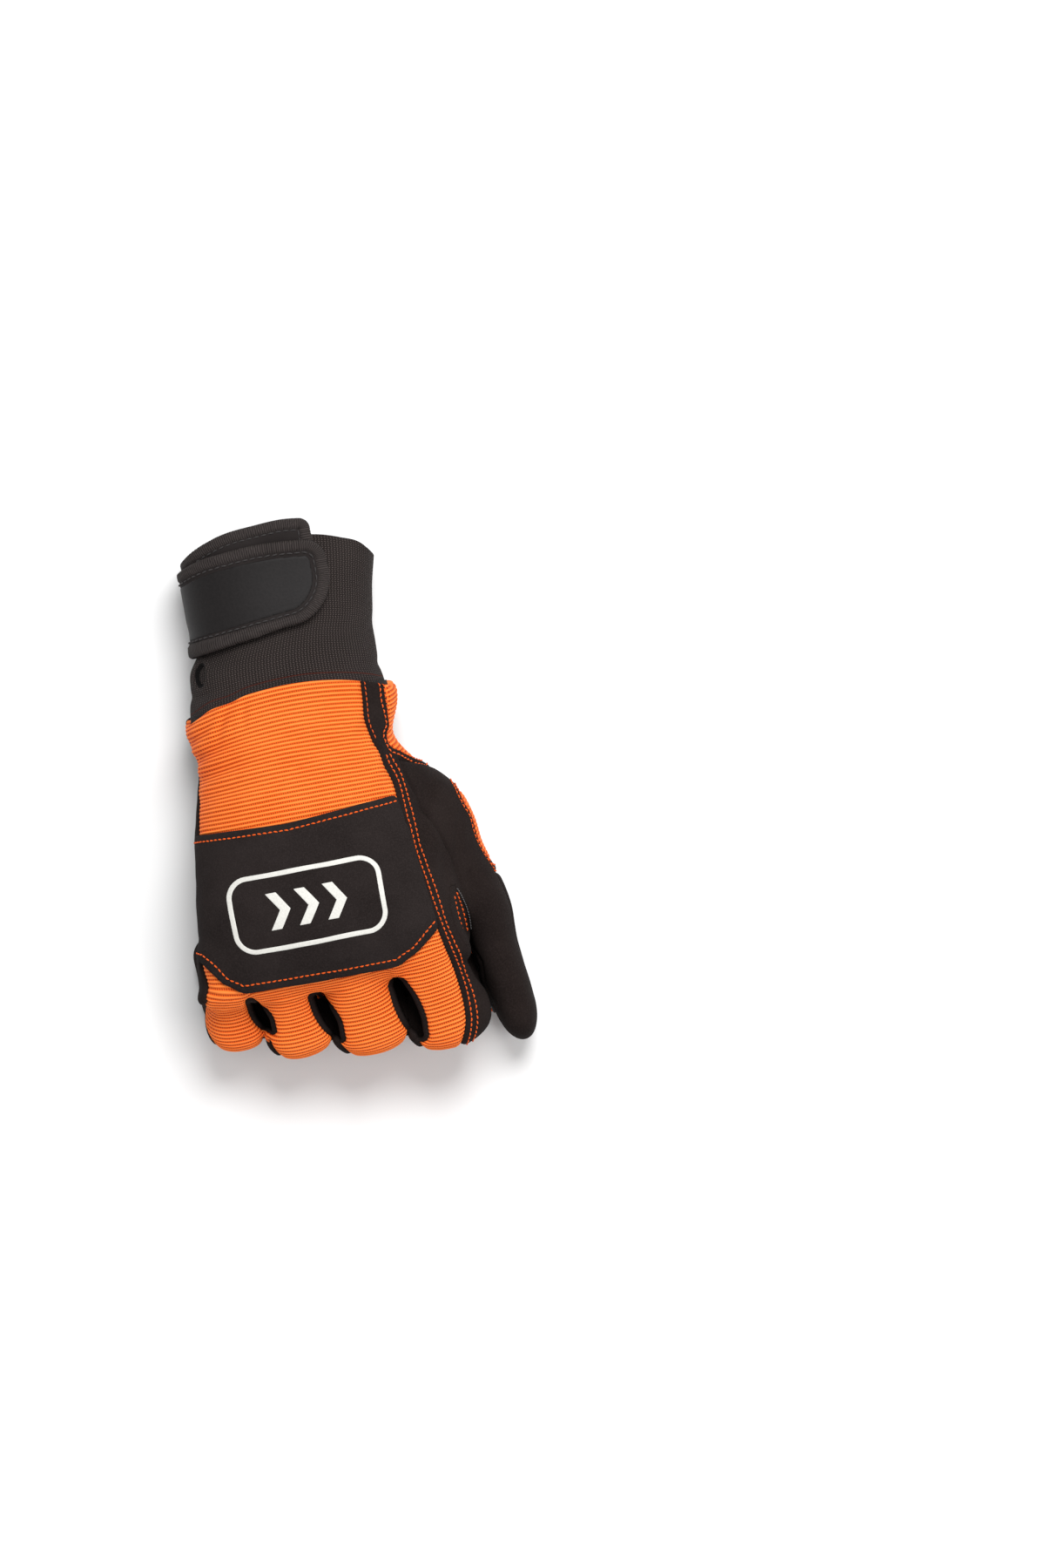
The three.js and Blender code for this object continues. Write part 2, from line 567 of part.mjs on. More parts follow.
// Cuff with its arched rim, and the strap's layers on it
const rimY = PALM_LENGTH + CUFF_LENGTH;
const rimArch = new THREE.Shape();
rimArch.moveTo(-FAR, -FAR);
rimArch.lineTo(FAR, -FAR);
rimArch.lineTo(FAR, rimY - CUFF_WIDTH * 0.3);
rimArch.lineTo(CUFF_WIDTH * 0.6, rimY - CUFF_WIDTH * 0.16);
rimArch.quadraticCurveTo(CUFF_WIDTH * 0.1, rimY + CUFF_WIDTH * 0.06, -CUFF_WIDTH * 0.5, rimY - CUFF_WIDTH * 0.09);
rimArch.lineTo(-FAR, rimY - CUFF_WIDTH * 0.09);
const cuff = cuffForm(0).subtract(cuffForm(-CUFF_WALL)).intersect(prism(rimArch));

const strapLeft = -CUFF_WIDTH; // past the cuff's side, so that the strap wraps round it
const strapNear = PALM_LENGTH + STRAP_OFFSET;
const strapFar = strapNear + STRAP_WIDTH;
const strapEnd = -CUFF_WIDTH / 2 + STRAP_REACH;
const STRAP_DROP = CUFF_HEIGHT * 0.22; // the strap's lowest edge on the little-finger side

/** Strap outline in plan with a blunt, round-cornered end, moved in by inset and stretched by rise. */
function strapShape(inset, rise = 0) {
  const near = strapNear + inset;
  const far = strapFar - inset + rise;
  const end = strapEnd - inset;
  const corner = (far - near) * 0.2;
  const sweep = (far - near) * 0.5;
  const shape = new THREE.Shape();
  shape.moveTo(strapLeft, near);
  shape.lineTo(end - sweep - corner, near);
  shape.quadraticCurveTo(end - corner, near, end, near + sweep);
  shape.lineTo(end, far - corner);
  shape.quadraticCurveTo(end, far, end - corner, far);
  shape.lineTo(strapLeft, far);
  return shape;
}

/** One layer of the strap: it lies on the cuff between two heights. */
function strapLayer(low, thickness, shape) {
  return layer(cuffForm, cuffForm, low, low + thickness).intersect(prism(shape, STRAP_DROP));
}

const underLow = SEAM_GAP;
const upperLow = underLow + STRAP_THICKNESS + SEAM_GAP;
const trimLow = upperLow + STRAP_THICKNESS + SEAM_GAP;
const underShape = strapShape(BINDING_WIDTH, UNDER_STRAP_RISE + BINDING_WIDTH);
const strapUnder = strapLayer(underLow, STRAP_THICKNESS, underShape);
const strapUpper = strapLayer(upperLow, STRAP_THICKNESS, strapShape(0));
const strapBinding = strapLayer(trimLow, BINDING_THICKNESS, strapShape(0))
  .subtract(prism(strapShape(BINDING_WIDTH)));
const strapLabel = strapLayer(trimLow, LABEL_THICKNESS, strapShape(LABEL_INSET));

const ORANGE = 0xff6a1a;
const SUEDE = 0x262322;
const KNIT = 0x2b2827;
const PRINT = 0xe9e7e0;
const RUBBER = 0x1d1d1d;
const glove = new THREE.Group();

/** A solid as a named mesh of the glove. */
function addPiece(name, solid, color, roughness) {
  const { vertProperties, triVerts } = solid.getMesh();
  const geometry = new THREE.BufferGeometry()
    .setAttribute('position', new THREE.BufferAttribute(vertProperties, 3))
    .setIndex(new THREE.BufferAttribute(triVerts, 1));
  const mesh = new THREE.Mesh(geometry, new THREE.MeshStandardMaterial({ color, roughness, metalness: 0 }));
  mesh.name = name;
  glove.add(mesh);
}

addPiece('back_fabric', stretchBack.intersect(handLane), ORANGE, 0.85);
addPiece('wrist_gusset', gusset, ORANGE, 0.85);
addPiece('palm_leather', palm, SUEDE, 0.9);
addPiece('thumb', thumb, SUEDE, 0.9);
fingers.forEach(({ name }, k) => {
  addPiece(`finger_back_${name}`, stretchBack.intersect(fingerLane(k)), ORANGE, 0.85);
});
fingers.forEach(({ name }, k) => addPiece(`finger_${name}`, leather.intersect(fingerLane(k)), SUEDE, 0.9));
fingers.forEach(({ name }, k) => addPiece(`cap_${name}`, shell.intersect(capCutters[k]), SUEDE, 0.9));
addPiece('knuckle_patch', knucklePatch, SUEDE, 0.85);
addPiece('badge_frame', badgeFrame, PRINT, 0.6);
for (let k = 0; k < CHEVRON_COUNT; k += 1) {
  addPiece(`badge_chevron_${k + 1}`, printLayer.intersect(prism(chevron(k), KNUCKLE_HEIGHT / 2)), PRINT, 0.6);
}
addPiece('palm_grip', palmGrip, RUBBER, 0.5);
addPiece('thumb_grip', thumbGrip, RUBBER, 0.5);
addPiece('knit_cuff', cuff, KNIT, 0.95);
addPiece('strap_under', strapUnder, KNIT, 0.9);
addPiece('strap_upper', strapUpper, KNIT, 0.9);
addPiece('strap_binding', strapBinding, KNIT, 0.9);
addPiece('strap_label', strapLabel, RUBBER, 0.6);

// The frame's origin is the middle of the glove's footprint on the table.
const bounds = new THREE.Box3().setFromObject(glove);
glove.position.set(-(bounds.min.x + bounds.max.x) / 2, -(bounds.min.y + bounds.max.y) / 2, 0);

export default glove;
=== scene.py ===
import math

import bpy
import numpy as np
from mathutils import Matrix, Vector
from mathutils.kdtree import KDTree


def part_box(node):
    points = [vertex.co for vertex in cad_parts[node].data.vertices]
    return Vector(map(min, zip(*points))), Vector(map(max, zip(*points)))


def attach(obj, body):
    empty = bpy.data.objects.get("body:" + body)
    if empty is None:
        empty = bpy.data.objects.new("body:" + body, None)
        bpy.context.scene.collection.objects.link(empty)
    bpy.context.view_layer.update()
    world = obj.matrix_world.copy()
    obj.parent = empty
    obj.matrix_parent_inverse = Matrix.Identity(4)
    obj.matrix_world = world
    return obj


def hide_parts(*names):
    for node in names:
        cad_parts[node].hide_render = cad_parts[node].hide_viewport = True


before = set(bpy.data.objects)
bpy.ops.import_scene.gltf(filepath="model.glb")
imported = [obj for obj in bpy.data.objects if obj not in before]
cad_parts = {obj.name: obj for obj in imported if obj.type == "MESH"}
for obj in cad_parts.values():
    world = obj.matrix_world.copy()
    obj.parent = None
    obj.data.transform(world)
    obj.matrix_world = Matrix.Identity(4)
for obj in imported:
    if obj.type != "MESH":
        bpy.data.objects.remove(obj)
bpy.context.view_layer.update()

# Sizes in millimetres, named as in the part's source. x runs to the thumb, y from the finger roots to the
# cuff, z up from the table.
PALM_LENGTH = 124
PALM_WIDTH = 120
KNUCKLE_HEIGHT = 76
SHELL_WALL = 3
FINGER_WIDTH = 33
FINGER_DEPTH = 27
FINGER_SPACING = 0.5
FINGER_TAPER = 0.955
KNUCKLE_TAPER = 0.73
FINGER_REACH = 19
FINGER_CURL = 37
TIP_PRESS = 0.5
KNUCKLE_SETBACK = 18
MIDDLE_ROOT_X = 4
ROOT_SPREAD = 0.95
FINGER_LEAN = 4.25
CAP_SEAM = 0.42
LAST_JOINT = 0.34
THUMB_LENGTH = 146
THUMB_WIDTH = 29
THUMB_DEPTH = 43
CUFF_WIDTH = 82
CUFF_HEIGHT = 51
CUFF_LENGTH = 66
CUFF_TUCK = 9
CUFF_WALL = 2.5
STRAP_WIDTH = 39
STRAP_REACH = 66
STRAP_OFFSET = 25
UNDER_STRAP_RISE = 9
BINDING_WIDTH = 4.5
LABEL_INSET = 7.5
BADGE_WIDTH = 65
BADGE_HEIGHT = 32.6
BADGE_LINE = 2
BADGE_CORNER = 9
CHEVRON_COUNT = 3
CHEVRON_HEIGHT = 15
CHEVRON_LINE = 4.5
CHEVRON_PITCH = 12
BADGE_X = -0.081 * PALM_WIDTH
BADGE_Y = 0.283 * PALM_LENGTH

# Fabric details
RIB_PITCH = 1.86
RIB_HEIGHT = 0.15
TICK_PITCH = 0.95
STITCH_PITCH = 2.35
STITCH_LENGTH = 1.75
STITCH_RADIUS = 0.36
STUD_PITCH = 3.2
STUD_HEIGHT = 0.75
SKIN_STEP = 0.7
LINING_STEP = 2.2
TABLE_GAP = 0.02

# Room that the glove's form is sampled in, and the value of a field far from its piece
FIELD_LOW = (-70.0, -44.0, -2.5)
FIELD_HIGH = (84.0, 134.0, 81.0)
FAR = 40.0

# How each panel is puffed: its rise between the seams, its dip into them, the reach of the slope between the
# two, and the depth of its turned edge.
PUFF = {
    "back": (0.35, 0.8, 1.3, 2.6),
    "gusset": (0.3, 0.8, 1.3, 2.6),
    "hand": (0.75, 0.3, 0.8, 2.6),
    "thumb": (0.75, 0.4, 1.0, 1.8),
    "cap": (0.9, 0.5, 1.4, 1.8),
}

# The most triangles in the three heaviest pieces
BACK_TRIANGLES = 185000
HAND_TRIANGLES = 100000
CUFF_TRIANGLES = 105000

# Sections across the hand, from the finger roots to the wrist: y is a share of PALM_LENGTH, left and right
# are shares of PALM_WIDTH, and top, side (the widest point) and bottom are shares of KNUCKLE_HEIGHT.
HAND_COLUMNS = ("y", "left", "right", "top", "side", "bottom")
HAND_SECTIONS = [
    (-0.012, -0.455, 0.415, 0.79, 0.69, 0.60),
    (0.015, -0.500, 0.460, 0.87, 0.68, 0.52),
    (0.080, -0.492, 0.475, 0.94, 0.66, 0.46),
    (0.160, -0.478, 0.472, 0.985, 0.63, 0.41),
    (0.260, -0.468, 0.460, 1.00, 0.59, 0.33),
    (0.390, -0.452, 0.432, 0.965, 0.53, 0.20),
    (0.540, -0.425, 0.395, 0.915, 0.47, 0.07),
    (0.690, -0.392, 0.352, 0.86, 0.42, 0.01),
    (0.810, -0.362, 0.334, 0.815, 0.39, -0.01),
    (0.930, -0.385, 0.372, 0.76, 0.36, 0.00),
    (1.080, -0.380, 0.366, 0.75, 0.34, 0.00),
]

# Cuff sections: y is a share of CUFF_LENGTH from the wrist seam, the rest are shares of CUFF_WIDTH and
# CUFF_HEIGHT.
CUFF_SECTIONS = [
    (-0.40, -0.520, 0.495, 1.02, 0.50, 0.06),
    (0.02, -0.522, 0.498, 1.05, 0.50, 0.01),
    (0.12, -0.506, 0.487, 1.01, 0.48, -0.03),
    (0.26, -0.486, 0.486, 0.985, 0.47, -0.04),
    (0.37, -0.432, 0.488, 0.965, 0.46, -0.05),
    (0.45, -0.406, 0.506, 0.945, 0.46, -0.05),
    (0.62, -0.402, 0.533, 0.935, 0.46, -0.05),
    (0.80, -0.401, 0.565, 0.93, 0.46, -0.05),
    (0.98, -0.402, 0.589, 0.935, 0.46, -0.05),
    (1.12, -0.405, 0.596, 0.935, 0.46, -0.05),
]

# Fingers: shares of FINGER_WIDTH, FINGER_DEPTH, FINGER_REACH, FINGER_CURL and KNUCKLE_HEIGHT, then the stretch
# fabric's width and its place to the thumb side as shares of the finger's width.
FINGER_COLUMNS = ("name", "width", "depth", "reach", "curl", "knuckle", "middle", "back", "aside")
FINGERS = [
    ("little", 0.73, 0.87, 0.42, 0.74, 0.70, 0.41, 0.80, -0.05),
    ("ring", 0.873, 0.96, 0.75, 0.92, 0.755, 0.47, 0.76, 0.0),
    ("middle", 1.0, 1.0, 0.95, 1.0, 0.785, 0.50, 0.76, 0.0),
    ("index", 1.016, 1.0, 1.14, 1.04, 0.77, 0.50, 0.66, -0.10),
]
BACK_WIDE = 0.97  # share of a finger's width that the stretch fabric covers above its middle joint
LITTLE_OUTER = (1.22, 0.69)  # the same on the little finger's outer side, at its middle joint and at its root

# Thumb joints: x and y are shares of THUMB_LENGTH from its root, z and depth of THUMB_DEPTH, width of
# THUMB_WIDTH.
THUMB_ROOT = (0.168 * PALM_WIDTH, 0.855 * PALM_LENGTH)
THUMB_JOINTS = [
    (0.0, 0.0, 0.62, 0.62, 0.90),
    (0.205, -0.30, 0.56, 0.98, 1.0),
    (0.290, -0.55, 0.49, 0.70, 0.92),
    (0.338, -0.885, 0.40, 0.57, 0.81),
]

THUMB_START = 0.62 * PALM_LENGTH  # the thumb's seam over the palm, at the table

# Width of the blend between the hand and the thumb, wider in the web between them
THUMB_BLEND = 5
WEB_BLEND = 9
WEB_Y = 57

# Right edge of the stretch back: shares of PALM_LENGTH and PALM_WIDTH.
BACK_RIGHT = [
    (-0.34, 0.325), (-0.29, 0.365), (-0.22, 0.398), (-0.12, 0.406), (-0.03, 0.398), (0.06, 0.380),
    (0.152, 0.362), (0.32, 0.338), (0.50, 0.316), (0.624, 0.309), (0.724, 0.288), (0.80, 0.262),
    (0.87, 0.254), (1.05, 0.268),
]

# Seam of the stretch back on the little-finger side: share of PALM_LENGTH, then its height as a share of the
# way from the widest point to the top, or to the bottom where it is under 0.
BACK_LEFT = [(-0.2, 0.30), (0.1, 0.40), (0.30, 0.36), (0.60, 0.32), (0.70, 0.24), (0.78, 0.0), (1.05, -0.3)]

# Openings between the finger roots: top and bottom in millimetres, then half widths from top to bottom, depth,
# and the height over the table from which they open.
SLOT_COLUMNS = ("top", "end", "widths", "depth", "floor")
SLOTS = [
    ((-40.0, -1.2), (-33.6, -14.5), (1.8, 3.3, 3.3, 1.4), 8, 30),
    ((-12.6, -4.2), (-5.6, -23.2), (2.6, 3.9, 3.7, 1.7), 9, 32),
    ((22.8, -5.8), (28.2, -28.0), (3.4, 4.8, 4.8, 3.0), 10, 32),
    ((53.2, 31.0), (57.2, -6.0), (0.9, 2.9, 1.5, 1.3), 8, 16),
]

# Stretch gusset on the thumb side: y and edge as above, low and high are shares of KNUCKLE_HEIGHT.
GUSSET = [
    (0.31, 0.53, 0.19, 0.38), (0.44, 0.530, 0.14, 0.43), (0.52, 0.535, 0.12, 0.45), (0.567, 0.528, 0.10, 0.47),
    (0.62, 0.500, 0.09, 0.52), (0.662, 0.452, 0.08, 0.58), (0.718, 0.378, 0.08, 0.66), (0.774, 0.320, 0.08, 0.72),
    (0.839, 0.328, 0.08, 0.76), (0.952, 0.341, 0.08, 0.76), (1.06, 0.347, 0.08, 0.76),
]

# Knuckle patch outline, going round: shares of PALM_WIDTH and PALM_LENGTH.
PATCH_EDGE = [
    (-0.404, 0.583), (-0.09, 0.567), (0.302, 0.594), (0.330, 0.44), (0.352, 0.25), (0.364, 0.125),
    (0.28, 0.060), (0.205, 0.027), (-0.348, 0.032), (-0.410, 0.075), (-0.47, 0.16), (-0.56, 0.2), (-0.56, 0.6),
]

# Corners of the patch's stitch rows where they run out past its thumb side, in the same shares.
ROW_CORNERS = [(0.37, 0.599), (0.414, 0.164)]

# Palm grip outline on the gripping side, in the same shares.
GRIP_EDGE = [
    (-0.36, 0.13), (0.33, 0.13), (0.36, 0.3), (0.3, 0.46), (0.2, 0.6), (-0.05, 0.66), (-0.27, 0.56),
    (-0.37, 0.38),
]

# Folds pressed into the soft shell: place, direction in plan (degrees from +x), half length, half width, depth.
FOLDS = [
    (-41, 105, 24, 13, 2.3, 1.4),
    (-38, 97, 14, 14, 2.4, 1.3),
    (-44, 112, 34, 9, 1.8, 1.0),
    (-33, 89, 4, 15, 3.0, 0.8),
    (-30, 117, 60, 7, 1.7, 0.8),
    (-20, 119, 75, 6, 1.7, 0.6),
    (-10, 108, -12, 20, 4.0, 0.6),
    (14, 100, 12, 20, 4.0, 0.6),
    (30, 106, 60, 12, 2.2, 0.8),
    (36, 88, 75, 14, 2.2, 0.7),
    (47, 66, 68, 20, 2.6, 0.9),
    (52, 40, 80, 18, 2.4, 0.8),
    (49, 10, 96, 16, 2.6, 0.7),
    (57.5, 46, 77, 17, 1.5, 0.9),
    (-57, 30, 84, 24, 2.4, 0.6),
    (-53, 60, 78, 18, 2.4, 0.6),
]

rng = np.random.default_rng(7)


class Surface:
    """A triangle mesh in millimetres, with named values at its points."""

    def __init__(self, co, tri, **data):
        self.co = co
        self.tri = tri
        self.data = data

    def copy(self):
        return Surface(self.co.copy(), self.tri.copy(), **{k: v.copy() for k, v in self.data.items()})

    def push(self, height):
        """Move each point out along its normal."""
        self.co = self.co + self.data["normal"] * height[:, None]

    def flip(self):
        self.tri = self.tri[:, ::-1]
        self.data["normal"] = -self.data["normal"]


def smoothstep(low, high, x):
    """0 at low, 1 at high and smooth between; low may be the larger."""
    t = np.clip((x - low) / (high - low), 0, 1)
    return t * t * (3 - 2 * t)


def spline(xs, ys, x):
    """A smooth curve through a table, held level past its ends."""
    xs = np.asarray(xs, float)
    ys = np.asarray(ys, float)
    slope = np.gradient(ys, xs)
    x = np.clip(x, xs[0], xs[-1])
    k = np.clip(np.searchsorted(xs, x) - 1, 0, len(xs) - 2)
    h = xs[k + 1] - xs[k]
    t = (x - xs[k]) / h
    rise = (3 - 2 * t) * t * t
    return (ys[k] * (1 - rise) + ys[k + 1] * rise
            + slope[k] * h * t * (1 - t) ** 2 - slope[k + 1] * h * t * t * (1 - t))


def soft_min(a, b, k):
    h = np.clip(0.5 + 0.5 * (b - a) / k, 0, 1)
    return b * (1 - h) + a * h - k * h * (1 - h)


def soft_max(a, b, k):
    return -soft_min(-a, -b, k)


def unit(v):
    v = np.asarray(v, float)
    return v / np.maximum(np.linalg.norm(v, axis=-1, keepdims=True), 1e-9)


def run_along(points):
    """Length run along a line at each of its points."""
    return np.concatenate([[0], np.cumsum(np.linalg.norm(np.diff(points, axis=0), axis=1))])


# The hand's form as a distance field

def table_mm(rows, columns, sizes):
    """Columns of a table of shares, in millimetres."""
    values = np.array(rows, float)
    return {name: values[:, k] * sizes[name] for k, name in enumerate(columns)}


HAND = table_mm(HAND_SECTIONS, HAND_COLUMNS, {
    "y": PALM_LENGTH, "left": PALM_WIDTH, "right": PALM_WIDTH,
    "top": KNUCKLE_HEIGHT, "side": KNUCKLE_HEIGHT, "bottom": KNUCKLE_HEIGHT})
CUFF = table_mm(CUFF_SECTIONS, HAND_COLUMNS, {
    "y": CUFF_LENGTH, "left": CUFF_WIDTH, "right": CUFF_WIDTH,
    "top": CUFF_HEIGHT, "side": CUFF_HEIGHT, "bottom": CUFF_HEIGHT})
CUFF["y"] = CUFF["y"] + PALM_LENGTH


def section(table, y):
    return {name: spline(table["y"], table[name], y) for name in table if name != "y"}


def hand_field(p, power=2.4):
    x, y, z = p.T
    row = section(HAND, y)
    half = (row["right"] - row["left"]) / 2
    above = z > row["side"]
    rise = np.where(above, row["top"] - row["side"], row["side"] - row["bottom"])
    u = np.abs(x - (row["left"] + row["right"]) / 2) / half
    w = np.abs(z - row["side"]) / rise
    q = np.maximum((u ** power + w ** power) ** (1 / power), 1e-3)
    steep = q ** (1 - power) * np.hypot(u ** (power - 1) / half, w ** (power - 1) / rise)
    near = np.maximum((q - 1) / np.maximum(steep, 1e-3), -25)
    return np.maximum(near, HAND["y"][0] - y)


def make_fingers():
    rows = [dict(zip(FINGER_COLUMNS, row)) for row in FINGERS]
    widths = [row["width"] * FINGER_WIDTH * FINGER_TAPER for row in rows]
    steps = [(a + b) / 2 + FINGER_SPACING for a, b in zip(widths, widths[1:])]
    offsets = np.concatenate([[0], np.cumsum(steps)])
    offsets -= offsets[2]
    for row, offset in zip(rows, offsets):
        knuckle = np.array([MIDDLE_ROOT_X + offset * ROOT_SPREAD, KNUCKLE_SETBACK,
                            row["knuckle"] * KNUCKLE_HEIGHT])
        middle = np.array([MIDDLE_ROOT_X + FINGER_LEAN + offset, -row["reach"] * FINGER_REACH,
                           row["middle"] * KNUCKLE_HEIGHT])
        forward = unit((middle - knuckle) * (1, 1, 0))
        depth = row["depth"] * FINGER_DEPTH
        rest = depth * FINGER_TAPER / 2 - TIP_PRESS
        back = row["curl"] * FINGER_CURL
        last = middle - forward * back * LAST_JOINT
        tip = middle - forward * back
        last[2] = tip[2] = rest
        row["origin"] = knuckle * (1, 1, 0)
        row["forward"] = forward
        row["across"] = np.cross((0, 0, 1), forward)
        row["plan"] = np.array([[(j - knuckle) @ forward, j[2]] for j in (knuckle, middle, last, tip)])
        taper = np.array([1, FINGER_TAPER, FINGER_TAPER, FINGER_TAPER])
        row["half_depth"] = depth / 2 * taper
        taper[0] = KNUCKLE_TAPER
        row["half_width"] = row["width"] * FINGER_WIDTH / 2 * taper + FINGER_SPACING
        row["joints"] = [knuckle, middle, last, tip]
    return rows


fingers = make_fingers()


def finger_plan(row, p):
    """Points as (forward, up) in a finger's bending plane, and their distance across it."""
    d = p - row["origin"]
    return np.stack([d @ row["forward"], p[:, 2]], 1), d @ row["across"]


def finger_field(row, p, power=2.3):
    flat, across = finger_plan(row, p)
    total = np.full(len(p), FAR)
    for k in range(3):
        a, b = row["plan"][k], row["plan"][k + 1]
        t = np.clip((flat - a) @ (b - a) / ((b - a) @ (b - a)), 0, 1)
        reach = np.linalg.norm(flat - a - t[:, None] * (b - a), axis=1)
        deep = row["half_depth"][k] * (1 - t) + row["half_depth"][k + 1] * t
        wide = row["half_width"][k] * (1 - t) + row["half_width"][k + 1] * t
        length = (np.abs(across * deep / wide) ** power + reach ** power) ** (1 / power)
        total = soft_min(total, length - deep, 5)
    return total


def thumb_joints():
    root_x, root_y = THUMB_ROOT
    return [(np.array([root_x + x * THUMB_LENGTH, root_y + y * THUMB_LENGTH, z * THUMB_DEPTH]),
             width * THUMB_WIDTH / 2, depth * THUMB_DEPTH / 2)
            for x, y, z, width, depth in THUMB_JOINTS]


def thumb_field(p, power=2.3):
    joints = thumb_joints()
    total = np.full(len(p), FAR)
    for (a, wide_a, deep_a), (b, wide_b, deep_b) in zip(joints, joints[1:]):
        along = unit((b - a) * (1, 1, 0))
        side = np.cross(along, (0, 0, 1))
        d = p - a
        run = d @ along
        length = (b - a) @ along
        t = np.clip(run / length, 0, 1)
        wide = wide_a * (1 - t) + wide_b * t
        deep = deep_a * (1 - t) + deep_b * t
        over = (run - t * length) * wide / deep * 1.15
        reach = np.hypot(d @ side, over)
        up = (p[:, 2] - (a[2] * (1 - t) + b[2] * t)) * wide / deep
        q = (np.abs(up) ** power + reach ** power) ** (1 / power)
        total = soft_min(total, (q - wide) * 1.05, 7)
    return total


def boxed(function, p, low, high, margin=12):
    """A field worked out only near its piece, and far away elsewhere."""
    value = np.full(len(p), FAR)
    near = np.all((p > np.asarray(low) - margin) & (p < np.asarray(high) + margin), axis=1)
    value[near] = function(p[near])
    return value


def finger_values(p):
    values = []
    for row in fingers:
        joints = np.array(row["joints"])
        reach = max(row["half_width"][0], row["half_depth"][0])
        values.append(boxed(
            lambda q, row=row: finger_field(row, q), p, joints.min(0) - reach, joints.max(0) + reach))
    return np.array(values)


def thumb_values(p):
    joints = np.array([joint[0] for joint in thumb_joints()])
    return boxed(thumb_field, p, joints.min(0) - 22, joints.max(0) + 22)


def slot_inside(p, slot):
    """How far inside a slot's outline a point lies in plan, faded out below the slot's floor."""
    row = dict(zip(SLOT_COLUMNS, slot))
    top, end = np.array(row["top"], float), np.array(row["end"], float)
    t = np.clip((p[:, :2] - top) @ (end - top) / ((end - top) @ (end - top)), 0, 1)
    away = np.linalg.norm(p[:, :2] - top - t[:, None] * (end - top), axis=1)
    return np.minimum(spline([0, 0.33, 0.7, 1], row["widths"], t) - away, (p[:, 2] - row["floor"]) / 1.5)


def glove_field(p):
    value = soft_min(hand_field(p), finger_values(p).min(0), 4)
    web = THUMB_BLEND + WEB_BLEND * np.exp(-((p[:, 1] - WEB_Y) / 16) ** 2)
    value = soft_min(value, thumb_values(p), web)
    for slot in SLOTS:
        depth = slot[3]
        near = (value < 4) & (value > -depth - 4) & (np.abs(p[:, 0] - slot[0][0]) < 16) & (p[:, 1] < 32)
        if near.any():
            hole = soft_min(slot_inside(p[near], slot) - 0.9, value[near] + depth, 2)
            value[near] = soft_max(value[near], hole, 2.6)
    return soft_max(value, -p[:, 2], 2.5)


def gradient(function, p, step=0.25):
    moves = np.eye(3) * step
    return np.stack([function(p + move) - function(p - move) for move in moves], 1) / (2 * step)


def surface_nets(value, low, step):
    """Triangles of the zero surface of a field sampled on a grid, facing out of its negative side."""
    inside = value < 0
    shape = np.array(value.shape) - 1
    corners = np.array([(i, j, k) for i in (0, 1) for j in (0, 1) for k in (0, 1)])
    count = np.zeros(shape, np.int8)
    for i, j, k in corners:
        count += inside[i:i + shape[0], j:j + shape[1], k:k + shape[2]]
    cells = np.argwhere((count > 0) & (count < 8))
    number = np.full(shape, -1, np.int32)
    number[tuple(cells.T)] = np.arange(len(cells))
    place = np.zeros((len(cells), 3))
    crossings = np.zeros(len(cells))
    for a in corners:
        for axis in np.flatnonzero(a == 0):
            b = a.copy()
            b[axis] = 1
            fa = value[tuple((cells + a).T)]
            fb = value[tuple((cells + b).T)]
            cross = (fa < 0) != (fb < 0)
            t = np.where(cross, fa / np.where(cross, fa - fb, 1), 0)
            place += cross[:, None] * (a + t[:, None] * (b - a))
            crossings += cross
    co = np.asarray(low) + step * (cells + place / crossings[:, None])
    triangles = []
    for axis in range(3):
        b, c = (axis + 1) % 3, (axis + 2) % 3
        first = [slice(None)] * 3
        second = [slice(None)] * 3
        first[axis] = slice(0, -1)
        second[axis] = slice(1, None)
        start = inside[tuple(first)]
        edge = np.argwhere(start != inside[tuple(second)])
        edge = edge[(edge[:, b] > 0) & (edge[:, c] > 0) & (edge[:, b] < shape[b]) & (edge[:, c] < shape[c])]
        around = []
        for db, dc in ((0, 0), (1, 0), (1, 1), (0, 1)):
            cell = edge.copy()
            cell[:, b] -= db
            cell[:, c] -= dc
            around.append(number[tuple(cell.T)])
        quad = np.stack(around, 1)
        out = start[tuple(edge.T)]
        quad[~out] = quad[~out][:, ::-1]
        triangles += [quad[:, [0, 1, 2]], quad[:, [0, 2, 3]]]
    return Surface(co, np.concatenate(triangles))


def sample_skin(step, level):
    """The glove's surface, moved out by level, with its normals."""
    low = np.array(FIELD_LOW)
    high = np.array(FIELD_HIGH)
    counts = np.ceil((high - low) / step).astype(int)
    axes = [low[k] + step * np.arange(counts[k]) for k in range(3)]
    value = np.empty(counts, np.float32)
    for start in range(0, counts[0], 32):
        block = np.stack(np.meshgrid(axes[0][start:start + 32], axes[1], axes[2], indexing="ij"), -1)
        value[start:start + 32] = glove_field(block.reshape(-1, 3)).reshape(block.shape[:3]) - level
    skin = surface_nets(value, low, step)
    for _ in range(2):
        slope = gradient(glove_field, skin.co)
        move = (glove_field(skin.co) - level) / np.maximum((slope ** 2).sum(1), 0.2)
        skin.co -= np.clip(move, -step, step)[:, None] * slope
    skin.data["normal"] = unit(gradient(glove_field, skin.co))
    return skin


# Cutting and measuring surfaces

def compact(surface):
    used = np.unique(surface.tri)
    number = np.full(len(surface.co), -1)
    number[used] = np.arange(len(used))
    return Surface(surface.co[used], number[surface.tri], **{k: v[used] for k, v in surface.data.items()})


